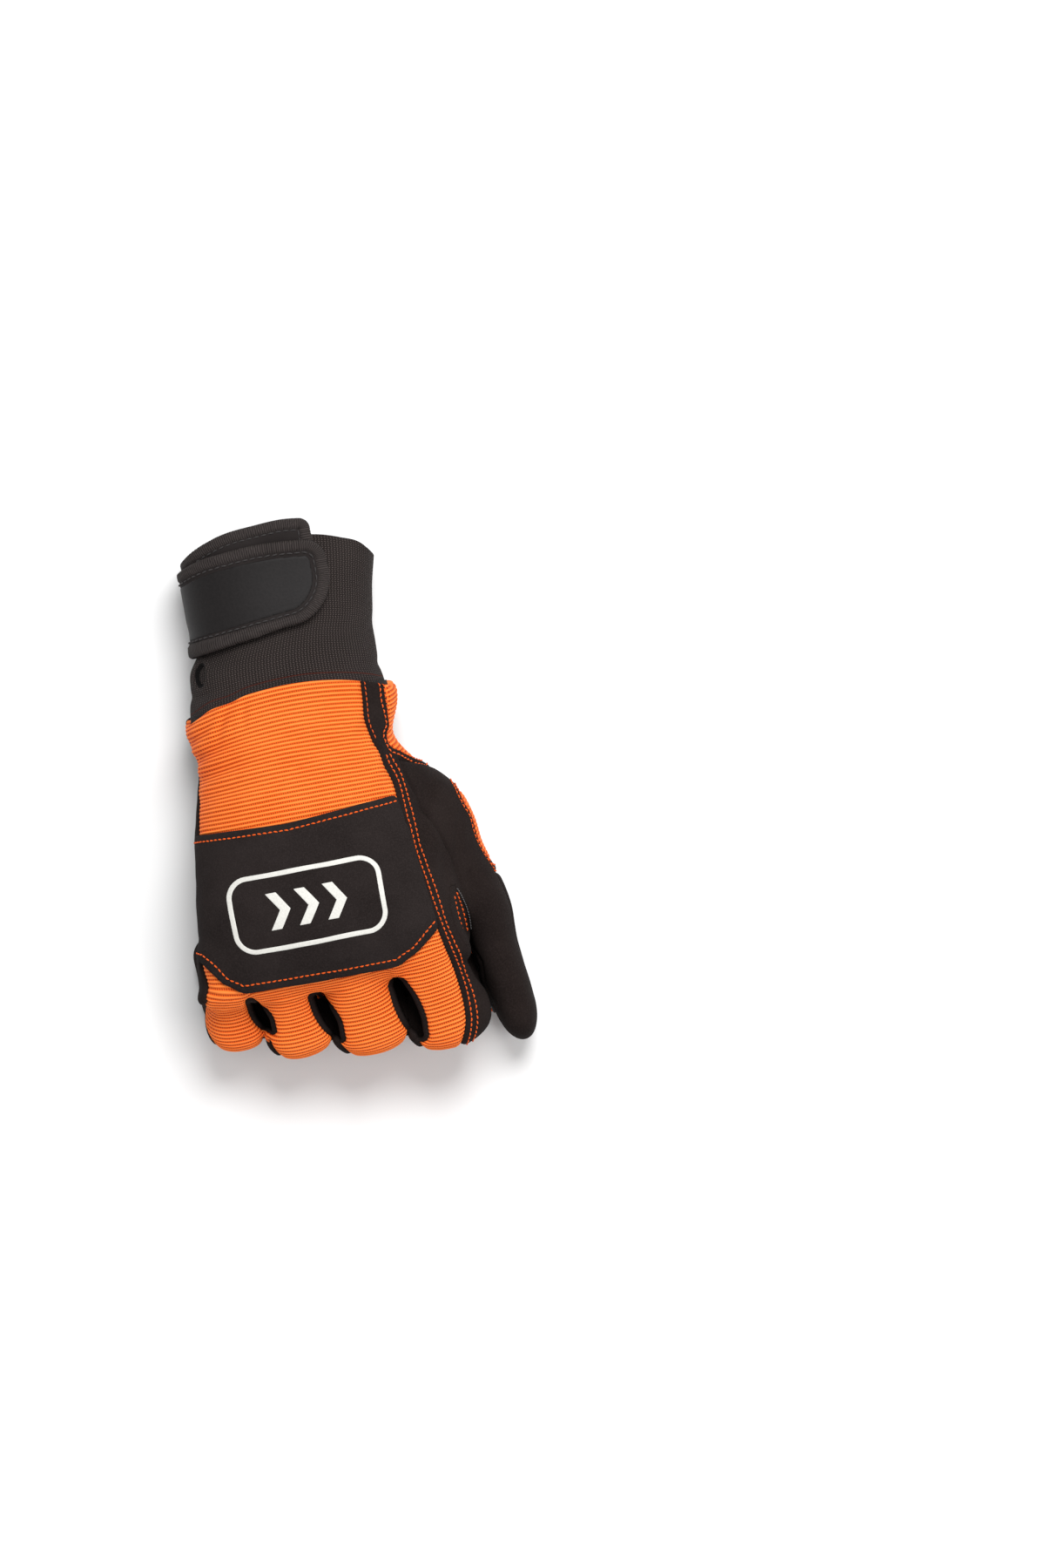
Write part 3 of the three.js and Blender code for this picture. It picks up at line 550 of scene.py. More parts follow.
def clip(surface, value):
    """The part of a surface where value is over 0, cut along its zero line."""
    value = np.where(np.abs(value) < 0.01, 0.01, value)
    keep = value > 0
    flags = keep[surface.tri]
    count = flags.sum(1)
    whole = surface.tri[count == 3]
    part = surface.tri[(count == 1) | (count == 2)]
    if not len(part):
        return compact(Surface(surface.co, whole, **surface.data))
    flags = keep[part]
    odd = np.where(flags.sum(1) == 1, flags.argmax(1), (~flags).argmax(1))
    a, b, c = np.take_along_axis(part, (odd[:, None] + np.arange(3)) % 3, 1).T
    ends = np.sort(np.concatenate([np.stack([a, b], 1), np.stack([a, c], 1)]), 1)
    edges, which = np.unique(ends, axis=0, return_inverse=True)
    t = value[edges[:, 0]] / (value[edges[:, 0]] - value[edges[:, 1]])
    cut = len(surface.co) + which.ravel()
    ab, ac = cut[:len(a)], cut[len(a):]
    single = keep[a]
    triangles = [whole, np.stack([a, ab, ac], 1)[single], np.stack([ab, b, c], 1)[~single],
                 np.stack([ab, c, ac], 1)[~single]]

    def extend(values):
        s = t if values.ndim == 1 else t[:, None]
        return np.concatenate([values, values[edges[:, 0]] * (1 - s) + values[edges[:, 1]] * s])

    data = {name: extend(values) for name, values in surface.data.items()}
    return compact(Surface(extend(surface.co), np.concatenate(triangles), **data))


def border(surface):
    """Directed edges that belong to one triangle."""
    edges = surface.tri[:, [0, 1, 1, 2, 2, 0]].reshape(-1, 2)
    key = np.sort(edges, 1)
    key = key[:, 0].astype(np.int64) * len(surface.co) + key[:, 1]
    _, first, count = np.unique(key, return_index=True, return_counts=True)
    return edges[first[count == 1]]


def chains(pairs):
    """Runs of numbers linked by pairs, each an open or closed list."""
    links = {}
    for a, b in pairs:
        links.setdefault(a, []).append(b)
        links.setdefault(b, []).append(a)
    seen = set()
    runs = []
    starts = sorted(links, key=lambda n: (len(links[n]) != 1, n))
    for start in starts:
        if start in seen:
            continue
        run = [start]
        seen.add(start)
        while True:
            free = [n for n in links[run[-1]] if n not in seen]
            if not free:
                break
            run.append(free[0])
            seen.add(free[0])
        if len(run) > 2 and run[0] in links[run[-1]]:
            run.append(run[0])
        runs.append(run)
    return runs


def resample(points, step):
    """Points a step apart along a line, with the length run at each."""
    points = np.asarray(points, float)
    run = run_along(points[:, :3])
    count = max(2, int(round(run[-1] / step)) + 1)
    at = np.linspace(0, run[-1], count)
    return np.stack([np.interp(at, run, points[:, k]) for k in range(points.shape[1])], 1), at


def measure_edge(surface):
    """Keep each point's distance to the border, and the length run along it."""
    surface.data["edge"], surface.data["edge_run"] = border_distance(surface)


def border_distance(surface, other=None):
    """Distance of each point to the border of its surface, or of another, and the length run along it."""
    other = other or surface
    pairs = border(other)
    places, lengths = [], []
    offset = 0.0
    for run in chains(pairs.tolist()):
        points, at = resample(other.co[run], 0.35)
        places.append(points)
        lengths.append(at + offset)
        offset += at[-1] + 50
    places = np.concatenate(places)
    lengths = np.concatenate(lengths)
    tree = KDTree(len(places))
    for k, place in enumerate(places):
        tree.insert(place, k)
    tree.balance()
    found = [tree.find(place) for place in surface.co]
    return np.array([f[2] for f in found]), lengths[[f[1] for f in found]]


def contour(surface, value):
    """Lines on a surface where a value is zero, as points with their normals."""
    value = np.where(np.abs(value) < 1e-4, 1e-4, value)
    high = value[surface.tri] > 0
    tri = surface.tri[(high.sum(1) > 0) & (high.sum(1) < 3)]
    edges = tri[:, [0, 1, 1, 2, 2, 0]].reshape(-1, 2)
    crossing = (value[edges[:, 0]] > 0) != (value[edges[:, 1]] > 0)
    key = np.sort(edges[crossing], 1)
    unique, which = np.unique(key, axis=0, return_inverse=True)
    t = (value[unique[:, 0]] / (value[unique[:, 0]] - value[unique[:, 1]]))[:, None]
    full = np.concatenate([surface.co, surface.data["normal"]], 1)
    points = full[unique[:, 0]] * (1 - t) + full[unique[:, 1]] * t
    return [points[run] for run in chains(which.reshape(-1, 2).tolist()) if len(run) > 6]


def in_polygon_distance(p, outline):
    """Distance in plan to a polygon's edge, positive inside it."""
    x, y = p[:, 0], p[:, 1]
    points = np.asarray(outline, float)
    best = np.full(len(x), 1e9)
    inside = np.zeros(len(x), bool)
    for a, b in zip(points, np.roll(points, -1, 0)):
        d = b - a
        t = np.clip(((x - a[0]) * d[0] + (y - a[1]) * d[1]) / (d @ d), 0, 1)
        best = np.minimum(best, np.hypot(x - a[0] - t * d[0], y - a[1] - t * d[1]))
        straddles = (a[1] > y) != (b[1] > y)
        slope = d[0] / (d[1] if d[1] else 1e-9)
        inside ^= straddles & (x < a[0] + (y - a[1]) * slope)
    return np.where(inside, best, -best)


def round_outline(points, size, radius):
    """A polygon in millimetres with its corners rounded by arcs."""
    points = np.array(points, float) * size
    result = []
    for before, corner, after in zip(np.roll(points, 1, 0), points, np.roll(points, -1, 0)):
        into, out = corner - before, after - corner
        cut = min(radius, np.linalg.norm(into) * 0.45, np.linalg.norm(out) * 0.45)
        start = corner - unit(into) * cut
        end = corner + unit(out) * cut
        for t in np.linspace(0, 1, 5):
            result.append((1 - t) ** 2 * start + 2 * t * (1 - t) * corner + t * t * end)
    return np.array(result)


def refined(surface):
    """Each triangle split into four."""
    edges = surface.tri[:, [0, 1, 1, 2, 2, 0]].reshape(-1, 2)
    key, which = np.unique(np.sort(edges, 1), axis=0, return_inverse=True)
    middle = len(surface.co) + which.reshape(-1, 3)
    a, b, c = surface.tri.T
    ab, bc, ca = middle.T
    tri = np.concatenate([np.stack(t, 1) for t in ((a, ab, ca), (ab, b, bc), (ca, bc, c), (ab, bc, ca))])

    def extend(values):
        return np.concatenate([values, (values[key[:, 0]] + values[key[:, 1]]) / 2])

    return Surface(extend(surface.co), tri, **{name: extend(v) for name, v in surface.data.items()})


def add_rim(surface, depth):
    """The surface with its border turned down by depth, so that its cut edge shows."""
    pairs = border(surface)
    used = np.unique(pairs)
    number = np.full(len(surface.co), -1)
    number[used] = len(surface.co) + np.arange(len(used))
    low = surface.co[used] - depth * surface.data["normal"][used]
    a, b = pairs.T
    skirt = np.concatenate([np.stack([b, a, number[a]], 1), np.stack([b, number[a], number[b]], 1)])
    data = {name: np.concatenate([values, values[used]]) for name, values in surface.data.items()}
    return Surface(np.concatenate([surface.co, low]), np.concatenate([surface.tri, skirt]), **data)


def grid_surface(points, closed=False):
    """A surface over a grid of points: rows, then places along the row, facing cross(row, place)."""
    rows, count = points.shape[:2]
    index = np.arange(rows * count).reshape(rows, count)
    nxt = np.roll(index, -1, 1) if closed else index[:, 1:]
    cur = index if closed else index[:, :-1]
    a, b, c, d = cur[:-1].ravel(), cur[1:].ravel(), nxt[1:].ravel(), nxt[:-1].ravel()
    tri = np.concatenate([np.stack([a, b, c], 1), np.stack([a, c, d], 1)])
    surface = Surface(points.reshape(-1, 3), tri)
    surface.data["normal"] = vertex_normals(surface)
    return surface


def vertex_normals(surface):
    a, b, c = (surface.co[surface.tri[:, k]] for k in range(3))
    face = np.cross(b - a, c - a)
    total = np.zeros_like(surface.co)
    for k in range(3):
        np.add.at(total, surface.tri[:, k], face)
    return unit(total)


# Smooth noise from a few waves, the same in every run
WAVES = [(unit(rng.normal(size=3)), rng.uniform(0, 6.28)) for _ in range(10)]


def ripple(p, length):
    total = sum(np.sin(2 * math.pi * (p @ way) / (length * (0.7 + 0.08 * k)) + phase)
                for k, (way, phase) in enumerate(WAVES))
    return total / math.sqrt(len(WAVES))


def fold_depth(p, normal):
    """How far the folds press each point in, with a low lip beside each fold."""
    depth = np.zeros(len(p))
    for x, y, turn, length, width, deep in FOLDS:
        angle = math.radians(turn)
        dx, dy = p[:, 0] - x, p[:, 1] - y
        along = dx * math.cos(angle) + dy * math.sin(angle)
        across = -dx * math.sin(angle) + dy * math.cos(angle) + 0.02 * along ** 2 / 3
        fade = np.exp(-(along / length) ** 2) * smoothstep(-0.1, 0.3, normal[:, 2])
        r = across / width
        depth += deep * fade * (np.exp(-r * r) - 0.45 * np.exp(-((np.abs(r) - 1.9) ** 2) * 1.6))
    return depth


# Regions of the skin: each value is positive inside its piece

def curve(rows, column, size, y):
    """A column of a table along the palm, whose first column holds shares of PALM_LENGTH."""
    return spline([row[0] * PALM_LENGTH for row in rows], [row[column] * size for row in rows], y)


def left_seam(p):
    """Height over the seam of the little-finger side; far from it on the thumb side."""
    x, y, z = p.T
    row = section(HAND, y)
    rise = curve(BACK_LEFT, 1, 1, y)
    rise = np.where(rise > 0, rise * (row["top"] - row["side"]), rise * (row["side"] - row["bottom"]))
    return np.where(x < 0, z - row["side"] - rise, 20.0)


def back_region(p):
    """The stretch back: above the side seams on the hand, and down the fingers to the cap seams."""
    x, y, z = p.T
    row = section(HAND, y)
    left = left_seam(p)
    right = np.where(z > row["side"] - 6, curve(BACK_RIGHT, 1, PALM_WIDTH, y) - x, -5)
    value = np.minimum(np.minimum(left, right), y + 1.5)
    for row in fingers:
        _, across = finger_plan(row, p)
        run, outer = finger_run(row, p)
        width = row["half_width"][1] * 2
        turned = smoothstep(row["bend_run"] - 9, row["bend_run"] + 5, run)
        share = BACK_WIDE + (row["back"] - BACK_WIDE) * turned
        offset = across - row["aside"] * width * turned
        side = share * width / 2 - np.abs(offset)
        if row["name"] == "little":
            at_joint, at_root = LITTLE_OUTER
            outer_share = at_joint + (at_root - at_joint) * smoothstep(-2, 5, y)
            outer_share = outer_share + (share - outer_share) * turned
            side = np.where(offset < 0, outer_share * width / 2 + offset, side)
        strip = np.minimum.reduce([side, outer + 3, row["cap_run"] - run, run + 14])
        if row["name"] == "index":
            strip = np.minimum(strip, curve(BACK_RIGHT, 1, PALM_WIDTH, y) - x)
        value = np.maximum(value, strip)
    for slot in SLOTS:
        value = np.minimum(value, -0.15 - slot_inside(p, slot))
    return value


def finger_run(row, p):
    """Length run along a finger's back at each point, and how far outside its bones the point lies."""
    flat, _ = finger_plan(row, p)
    best = np.full(len(p), 1e9)
    run = np.zeros(len(p))
    outer = np.zeros(len(p))
    done = 0.0
    plan = row["plan"]
    for k in range(3):
        a, b = plan[k], plan[k + 1]
        along = unit(b - a)
        out = np.array([-along[1], along[0]])
        length = np.linalg.norm(b - a)
        t = (flat - a) @ along
        held = np.clip(t, -20 if k == 0 else 0, length)
        reach = np.linalg.norm(flat - a - held[:, None] * along, axis=1)
        past = t > length
        bend = 0.0
        if k < 2:
            onward = unit(plan[k + 2] - b)
            bend = math.acos(np.clip(along @ onward, -1, 1))
        turned = np.arctan2((flat - b) @ along, (flat - b) @ out)
        here = done + held + np.where(past, row["half_depth"][k + 1] * np.clip(turned, 0, bend), 0)
        nearer = reach < best - 1e-6
        best = np.where(nearer, reach, best)
        run = np.where(nearer, here, run)
        outer = np.where(nearer, (flat - a) @ out, outer)
        done += length + row["half_depth"][k + 1] * bend
    return run, outer


def measure_runs(row):
    """Length run along a finger's back to the middle of its bend, and to its cap seam."""
    first, second = (b - a for a, b in zip(row["plan"], row["plan"][1:3]))
    bend = math.acos(unit(first) @ unit(second)) * row["half_depth"][1]
    row["bend_run"] = np.linalg.norm(first) + bend / 2
    row["cap_run"] = np.linalg.norm(first) + bend + CAP_SEAM * np.linalg.norm(second)


for finger in fingers:
    measure_runs(finger)


def cap_region(p, near):
    """Past the cap seams of the nearest finger."""
    value = np.full(len(p), -20.0)
    for k, row in enumerate(fingers):
        run, _ = finger_run(row, p)
        value = np.where(near == k, run - row["cap_run"], value)
    return np.where(p[:, 1] < 34, value, -20)


def gusset_region(p):
    x, y, z = p.T
    edge, low, high = (curve(GUSSET, k, size, y) for k, size in enumerate(
        (PALM_WIDTH, KNUCKLE_HEIGHT, KNUCKLE_HEIGHT), start=1))
    return np.minimum.reduce([x - edge, z - low, high - z, y - GUSSET[0][0] * PALM_LENGTH])


def rib_run(p):
    """Place across the ribs: down the fingers, and along the back of the hand with arched rows at the wrist."""
    x, y, _ = p.T
    ys = np.linspace(-60, 140, 201)
    top = spline(HAND["y"], HAND["top"], ys)
    length = np.concatenate([[0], np.cumsum(np.hypot(np.diff(ys), np.diff(top)))])
    arch = 6 * smoothstep(70, 124, y) * (x / 44) ** 2 - 0.5 * smoothstep(60, 90, y)
    hand = -np.interp(y + arch, ys, length)
    run = np.zeros(len(p))
    weight = np.zeros(len(p))
    for row, value in zip(fingers, finger_values(p)):
        knuckle = row["joints"][0]
        start = knuckle + (0, 0, row["half_depth"][0])
        offset = -np.interp(start[1], ys, length) - finger_run(row, start[None])[0][0]
        mine = np.exp(-np.clip(value, -6, 30) / 1.2)
        run += mine * (finger_run(row, p)[0] + offset)
        weight += mine
    bent = 1 - smoothstep(0, 16, y)
    return hand * (1 - bent) + run / weight * bent


# Making Blender objects

def place_shift():
    """Where the glove's own frame lies in the part's frame, read from the printed badge's place."""
    low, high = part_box("badge_frame")
    return np.array([(low[0] + high[0]) / 2 * 1000 - BADGE_X, (low[1] + high[1]) / 2 * 1000 - BADGE_Y, 0.0])


SHIFT = place_shift()


def to_world(co):
    return (np.asarray(co) + SHIFT) / 1000


def above_table(co):
    """Points pressed up to just over the table."""
    return np.concatenate([co[:, :2], np.maximum(co[:, 2:], TABLE_GAP)], 1)


def thin_out(piece, most):
    """Leave out points where a piece is flat or runs straight along its ribs."""
    dense = piece.data
    modifier = piece.modifiers.new("thin_out", "DECIMATE")
    modifier.ratio = most / len(dense.polygons)
    bpy.context.view_layer.update()
    seen = piece.evaluated_get(bpy.context.evaluated_depsgraph_get())
    thinned = bpy.data.meshes.new_from_object(seen)
    piece.modifiers.clear()
    piece.data = thinned
    bpy.data.meshes.remove(dense)


def make_object(name, surface, material, nodes=(), most=None):
    """A piece of the glove as a Blender mesh, with at most the given number of triangles."""
    mesh = bpy.data.meshes.new(name)
    count = len(surface.tri)
    mesh.vertices.add(len(surface.co))
    mesh.vertices.foreach_set("co", to_world(above_table(surface.co)).ravel())
    mesh.loops.add(count * 3)
    mesh.loops.foreach_set("vertex_index", surface.tri.ravel().astype(np.int32))
    mesh.polygons.add(count)
    mesh.polygons.foreach_set("loop_start", np.arange(0, count * 3, 3, dtype=np.int32))
    mesh.update(calc_edges=True)
    mesh.validate()
    mesh.shade_smooth()
    for key, values in surface.data.items():
        if values.ndim == 1:
            attribute = mesh.attributes.new(key, "FLOAT", "POINT")
            attribute.data.foreach_set("value", values.astype(np.float32))
    piece = bpy.data.objects.new(name, mesh)
    bpy.context.scene.collection.objects.link(piece)
    mesh.materials.append(material)
    if most and most < count:
        thin_out(piece, most)
        count = len(piece.data.polygons)
    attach(piece, "root")
    if nodes:
        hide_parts(*nodes)
    print(f"{name}: {count} triangles")
    return piece


def join(surfaces):
    """Several surfaces as one, with the values that all of them have."""
    co, tri = [], []
    base = 0
    for surface in surfaces:
        co.append(surface.co)
        tri.append(surface.tri + base)
        base += len(surface.co)
    names = set.intersection(*(set(s.data) for s in surfaces))
    data = {name: np.concatenate([s.data[name] for s in surfaces]) for name in names}
    return Surface(np.concatenate(co), np.concatenate(tri), **data)


# Materials

class Shader:
    """A node material, built by short calls."""

    def __init__(self, name):
        self.material = bpy.data.materials.new(name)
        self.material.use_nodes = True
        self.tree = self.material.node_tree
        self.tree.nodes.clear()
        self.surface = self.tree.nodes.new("ShaderNodeBsdfPrincipled")
        output = self.tree.nodes.new("ShaderNodeOutputMaterial")
        self.tree.links.new(self.surface.outputs[0], output.inputs["Surface"])

    def set(self, node, **inputs):
        for key, value in inputs.items():
            numbered = key[0] == "i" and key[1:].isdigit()
            socket = node.inputs[int(key[1:]) if numbered else key.replace("_", " ")]
            if isinstance(value, bpy.types.NodeSocket):
                self.tree.links.new(value, socket)
            else:
                socket.default_value = value
        return node

    def node(self, kind, **inputs):
        return self.set(self.tree.nodes.new("ShaderNode" + kind), **inputs)

    def math(self, operation, a, b=0.0):
        node = self.tree.nodes.new("ShaderNodeMath")
        node.operation = operation
        return self.set(node, i0=a, i1=b).outputs[0]

    def add(self, a, b):
        return self.math("ADD", a, b)

    def subtract(self, a, b):
        return self.math("SUBTRACT", a, b)

    def multiply(self, a, b):
        return self.math("MULTIPLY", a, b)

    def wave(self, value, pitch):
        """Between 0 and 1, with a crest at every pitch."""
        turned = self.multiply(value, 2 * math.pi / pitch)
        return self.add(self.multiply(self.math("COSINE", turned), 0.5), 0.5)

    def value_of(self, name):
        node = self.tree.nodes.new("ShaderNodeAttribute")
        node.attribute_name = name
        return node.outputs["Fac"]

    def noise(self, scale, detail=2.0, roughness=0.5):
        place = self.node("TexCoord").outputs["Object"]
        node = self.node("TexNoise", Vector=place, Scale=scale, Detail=detail, Roughness=roughness)
        return node.outputs["Fac"]

    def ramp(self, value, low, high):
        """0 below low, 1 above high, smooth between."""
        node = self.tree.nodes.new("ShaderNodeMapRange")
        node.interpolation_type = "SMOOTHSTEP"
        return self.set(node, Value=value, From_Min=low, From_Max=high).outputs[0]

    def fade(self, value, low, high, most):
        """0 below low, most above high."""
        return self.multiply(self.ramp(value, low, high), most)

    def mix(self, amount, a, b):
        """One colour turned into another; each is a socket or three numbers."""
        node = self.tree.nodes.new("ShaderNodeMix")
        node.data_type = "RGBA"
        a, b = ((*c, 1) if isinstance(c, tuple) else c for c in (a, b))
        return self.set(node, i0=amount, i6=a, i7=b).outputs[2]

    def finish(self, colour, roughness, shine, height=None, depth=0.0, strength=1.0):
        """The finished material, with height as a bump of the given depth in metres."""
        if height is not None:
            bump = self.node("Bump", Height=height, Distance=depth, Strength=strength)
            self.set(self.surface, Normal=bump.outputs[0])
        self.set(self.surface, Base_Color=colour, Roughness=roughness, Specular_IOR_Level=shine)
        return self.material


def stretch_material():
    """Ribbed stretch fabric: rounded ribs with a row of small holes in each groove; the rib tops carry a painted
    highlight and the grooves and holes painted shade.
    """
    s = Shader("stretch_fabric")
    ridge = s.wave(s.value_of("rib"), RIB_PITCH)
    tick = s.wave(s.value_of("across"), TICK_PITCH)
    groove = s.subtract(1.0, s.ramp(ridge, 0.05, 0.5))
    hole = s.multiply(groove, s.ramp(tick, 0.3, 0.9))
    flat = s.mix(s.ramp(s.noise(60, 3), 0.3, 0.7), (0.97, 0.180, 0.022), (0.92, 0.142, 0.013))
    # Painted highlight: the rib tops are lightened towards a paler orange.
    lit = s.mix(s.fade(ridge, 0.5, 1.0, 0.75), flat, (1.0, 0.27, 0.055))
    # Painted shade: the grooves between the ribs are darkened.
    shaded = s.mix(s.multiply(groove, 0.40), lit, (0.55, 0.052, 0.004))
    # Painted shade: the holes in the grooves are darkened; the holes are real, their darkness is painted.
    colour = s.mix(s.multiply(hole, 0.95), shaded, (0.28, 0.020, 0.002))
    height = s.add(s.subtract(ridge, s.multiply(hole, 0.5)), s.multiply(s.noise(2600, 2), 0.12))
    return s.finish(colour, 0.72, 0.15, height, 0.0004, 0.9)


def suede_material(name="suede", tint=(0.0095, 0.0062, 0.0056), light=(0.019, 0.0135, 0.0122)):
    """Black synthetic suede: a fine nap, a few lighter specks and soft lighter patches."""
    s = Shader(name)
    nap = s.noise(1500, 3, 0.7)
    speck = s.noise(4200, 1, 0.5)
    base = s.mix(s.fade(s.noise(38, 3, 0.6), 0.3, 0.75, 0.6), tint, light)
    napped = s.mix(s.fade(nap, 0.35, 0.8, 0.5), base, tuple(v * 1.5 for v in light))
    colour = s.mix(s.fade(speck, 0.72, 0.8, 0.35), napped, (0.16, 0.14, 0.13))
    height = s.add(s.multiply(nap, 0.6), s.multiply(speck, 0.4))
    return s.finish(colour, 0.93, 0.08, height, 0.00022, 0.7)


def knit_material():
    """Fine black knit: small slanted loops in rows with a painted highlight on their tops, a faint red seam by the
    hem, and an eyelet painted near black as painted shade.
    """
    s = Shader("knit")
    along = s.value_of("along")
    slant = s.multiply(s.wave(along, 1.7), 0.55)
    wale = s.wave(s.add(s.value_of("around"), slant), 1.25)
    course = s.wave(s.add(along, s.multiply(wale, 0.4)), 0.85)
    loop = s.multiply(wale, course)
    base = s.mix(s.ramp(s.noise(45, 3), 0.35, 0.7), (0.0125, 0.0092, 0.0086), (0.017, 0.013, 0.0122))
    # Painted highlight: the loop tops are lightened far above the yarn's black.
    knitted = s.mix(s.fade(loop, 0.1, 0.9, 0.75), base, (0.120, 0.097, 0.090))
    from_seam = s.math("ABSOLUTE", s.subtract(s.value_of("hem"), 3.3))
    seam = s.subtract(1.0, s.ramp(from_seam, 0.12, 0.4))
    sewn = s.mix(s.multiply(seam, 0.7), knitted, (0.075, 0.014, 0.008))
    # Painted shade: the eyelet's dent is painted near black, darker than the knit around it.
    colour = s.mix(s.ramp(s.value_of("hole"), -0.02, 0.10), sewn, (0.003, 0.0025, 0.0025))
    height = s.subtract(s.add(loop, s.multiply(s.noise(3000, 2), 0.25)), s.multiply(seam, 1.2))
    return s.finish(colour, 0.9, 0.12, height, 0.00045, 0.9)


def strap_material():
    """Black laminated strap with a cross-ribbed folded edge, whose rib crests carry a painted highlight."""
    s = Shader("strap_fabric")
    rim = s.subtract(1.0, s.ramp(s.value_of("edge"), BINDING_WIDTH - 0.3, BINDING_WIDTH + 0.3))
    ribbed_rim = s.multiply(s.wave(s.value_of("edge_run"), 0.95), rim)
    base = s.mix(s.ramp(s.noise(50, 2), 0.3, 0.7), (0.0115, 0.0088, 0.0083), (0.017, 0.0135, 0.013))
    # Painted highlight: the crests of the folded edge's ribs are lightened.
    colour = s.mix(s.multiply(ribbed_rim, 0.6), base, (0.060, 0.049, 0.046))
    height = s.add(s.multiply(ribbed_rim, 0.7), s.multiply(s.noise(2600, 2), 0.3))
    return s.finish(colour, 0.82, 0.15, height, 0.0003, 0.8)


def plain_material(name, colour, roughness, grain=900, depth=0.0001, spread=0.25, shine=0.2):
    """One colour with a fine grain."""
    s = Shader(name)
    fine = s.noise(grain, 3)
    mixed = s.mix(s.ramp(fine, 0.3, 0.7), tuple(v * (1 - spread) for v in colour), colour)
    return s.finish(mixed, roughness, shine, fine, depth, 0.5)


def thread_material(name, colour):
    """Twisted thread: fine slanted strands, darkened in the grooves between them as painted shade."""
    s = Shader(name)
    twist = s.wave(s.value_of("twist"), 0.55)
    # Painted shade: the grooves between the strands are darkened to 45 per cent.
    mixed = s.mix(s.ramp(twist, 0.1, 0.8), tuple(v * 0.45 for v in colour), colour)
    return s.finish(mixed, 0.6, 0.2, twist, 0.0001, 0.8)


STRETCH = stretch_material()
SUEDE = suede_material()
PATCH_SUEDE = suede_material("patch_suede", (0.0115, 0.0085, 0.0080), (0.0215, 0.0165, 0.0158))
KNIT = knit_material()
STRAP = strap_material()
LABEL = plain_material("label", (0.0105, 0.0088, 0.0088), 0.6)
PRINT = plain_material("print", (0.66, 0.65, 0.61), 0.62, grain=1400, spread=0.12)
RUBBER = plain_material("grip_rubber", (0.020, 0.020, 0.021), 0.42, grain=700, shine=0.4)
THREAD = thread_material("orange_thread", (0.95, 0.13, 0.012))
# The black thread's colour is lifted above the strap's black: partly its own dark colour, partly a painted
# highlight.
DARK_THREAD = thread_material("black_thread", (0.05, 0.045, 0.045))
EDGE_THREAD = thread_material("edge_thread", (0.13, 0.125, 0.125))
LINING = plain_material("lining", (0.018, 0.017, 0.017), 0.95, grain=1200, depth=0.0003)


# Stitches and studs

def stitches(lines, pitch=STITCH_PITCH, length=STITCH_LENGTH, radius=STITCH_RADIUS, lift=0.12):
    """Short raised threads along lines of (point, normal), each arched out of the cloth."""
    rings, sides = 6, 6
    u = np.linspace(-1, 1, rings)
    angle = np.arange(sides) / sides * 2 * math.pi
    swell = np.sqrt(np.clip(1.02 - u ** 2 * 0.9, 0.05, 1))
    arch = lift + radius * 0.5 * (1 - u ** 2) - radius * 0.55 * np.abs(u) ** 3
    aside = np.cos(angle)[None, :, None] * (radius * swell)[:, None, None]
    upward = np.sin(angle)[None, :, None] * (radius * 0.8 * swell)[:, None, None]
    twist = np.repeat(u * length / 2, sides) + np.tile(angle, rings) * 0.16
    last = (rings - 1) * sides
    caps = [(0, k + 1, k) for k in range(1, sides - 1)]
    caps += [(last, last + k, last + k + 1) for k in range(1, sides - 1)]
    pieces = []
    for line in lines:
        spaced, at = resample(line, 0.2)
        if at[-1] < pitch * 1.5:
            continue
        for centre in np.arange(pitch / 2, at[-1] - pitch / 3, pitch):
            run = centre + u * length / 2
            full = np.stack([np.interp(run, at, spaced[:, k]) for k in range(6)], 1)
            point, normal = full[:, :3], unit(full[:, 3:])
            along = unit(np.gradient(point, axis=0))
            side = unit(np.cross(normal, along))
            lean = rng.normal(0, 0.05)
            middle = point + normal * arch[:, None] + side * (u * lean * length)[:, None]
            tube = grid_surface(middle[:, None] + side[:, None] * aside + normal[:, None] * upward, closed=True)
            tri = np.concatenate([tube.tri, np.array(caps)])[:, ::-1]
            pieces.append(Surface(tube.co, tri, normal=tube.data["normal"], twist=twist))
    return join(pieces)


# A stud from its foot to its top: radius as a share of STUD_PITCH, and height as a share of STUD_HEIGHT
STUD_PROFILE = [(0.49, -0.1), (0.46, 0.35), (0.36, 0.8), (0.2, 1.0)]


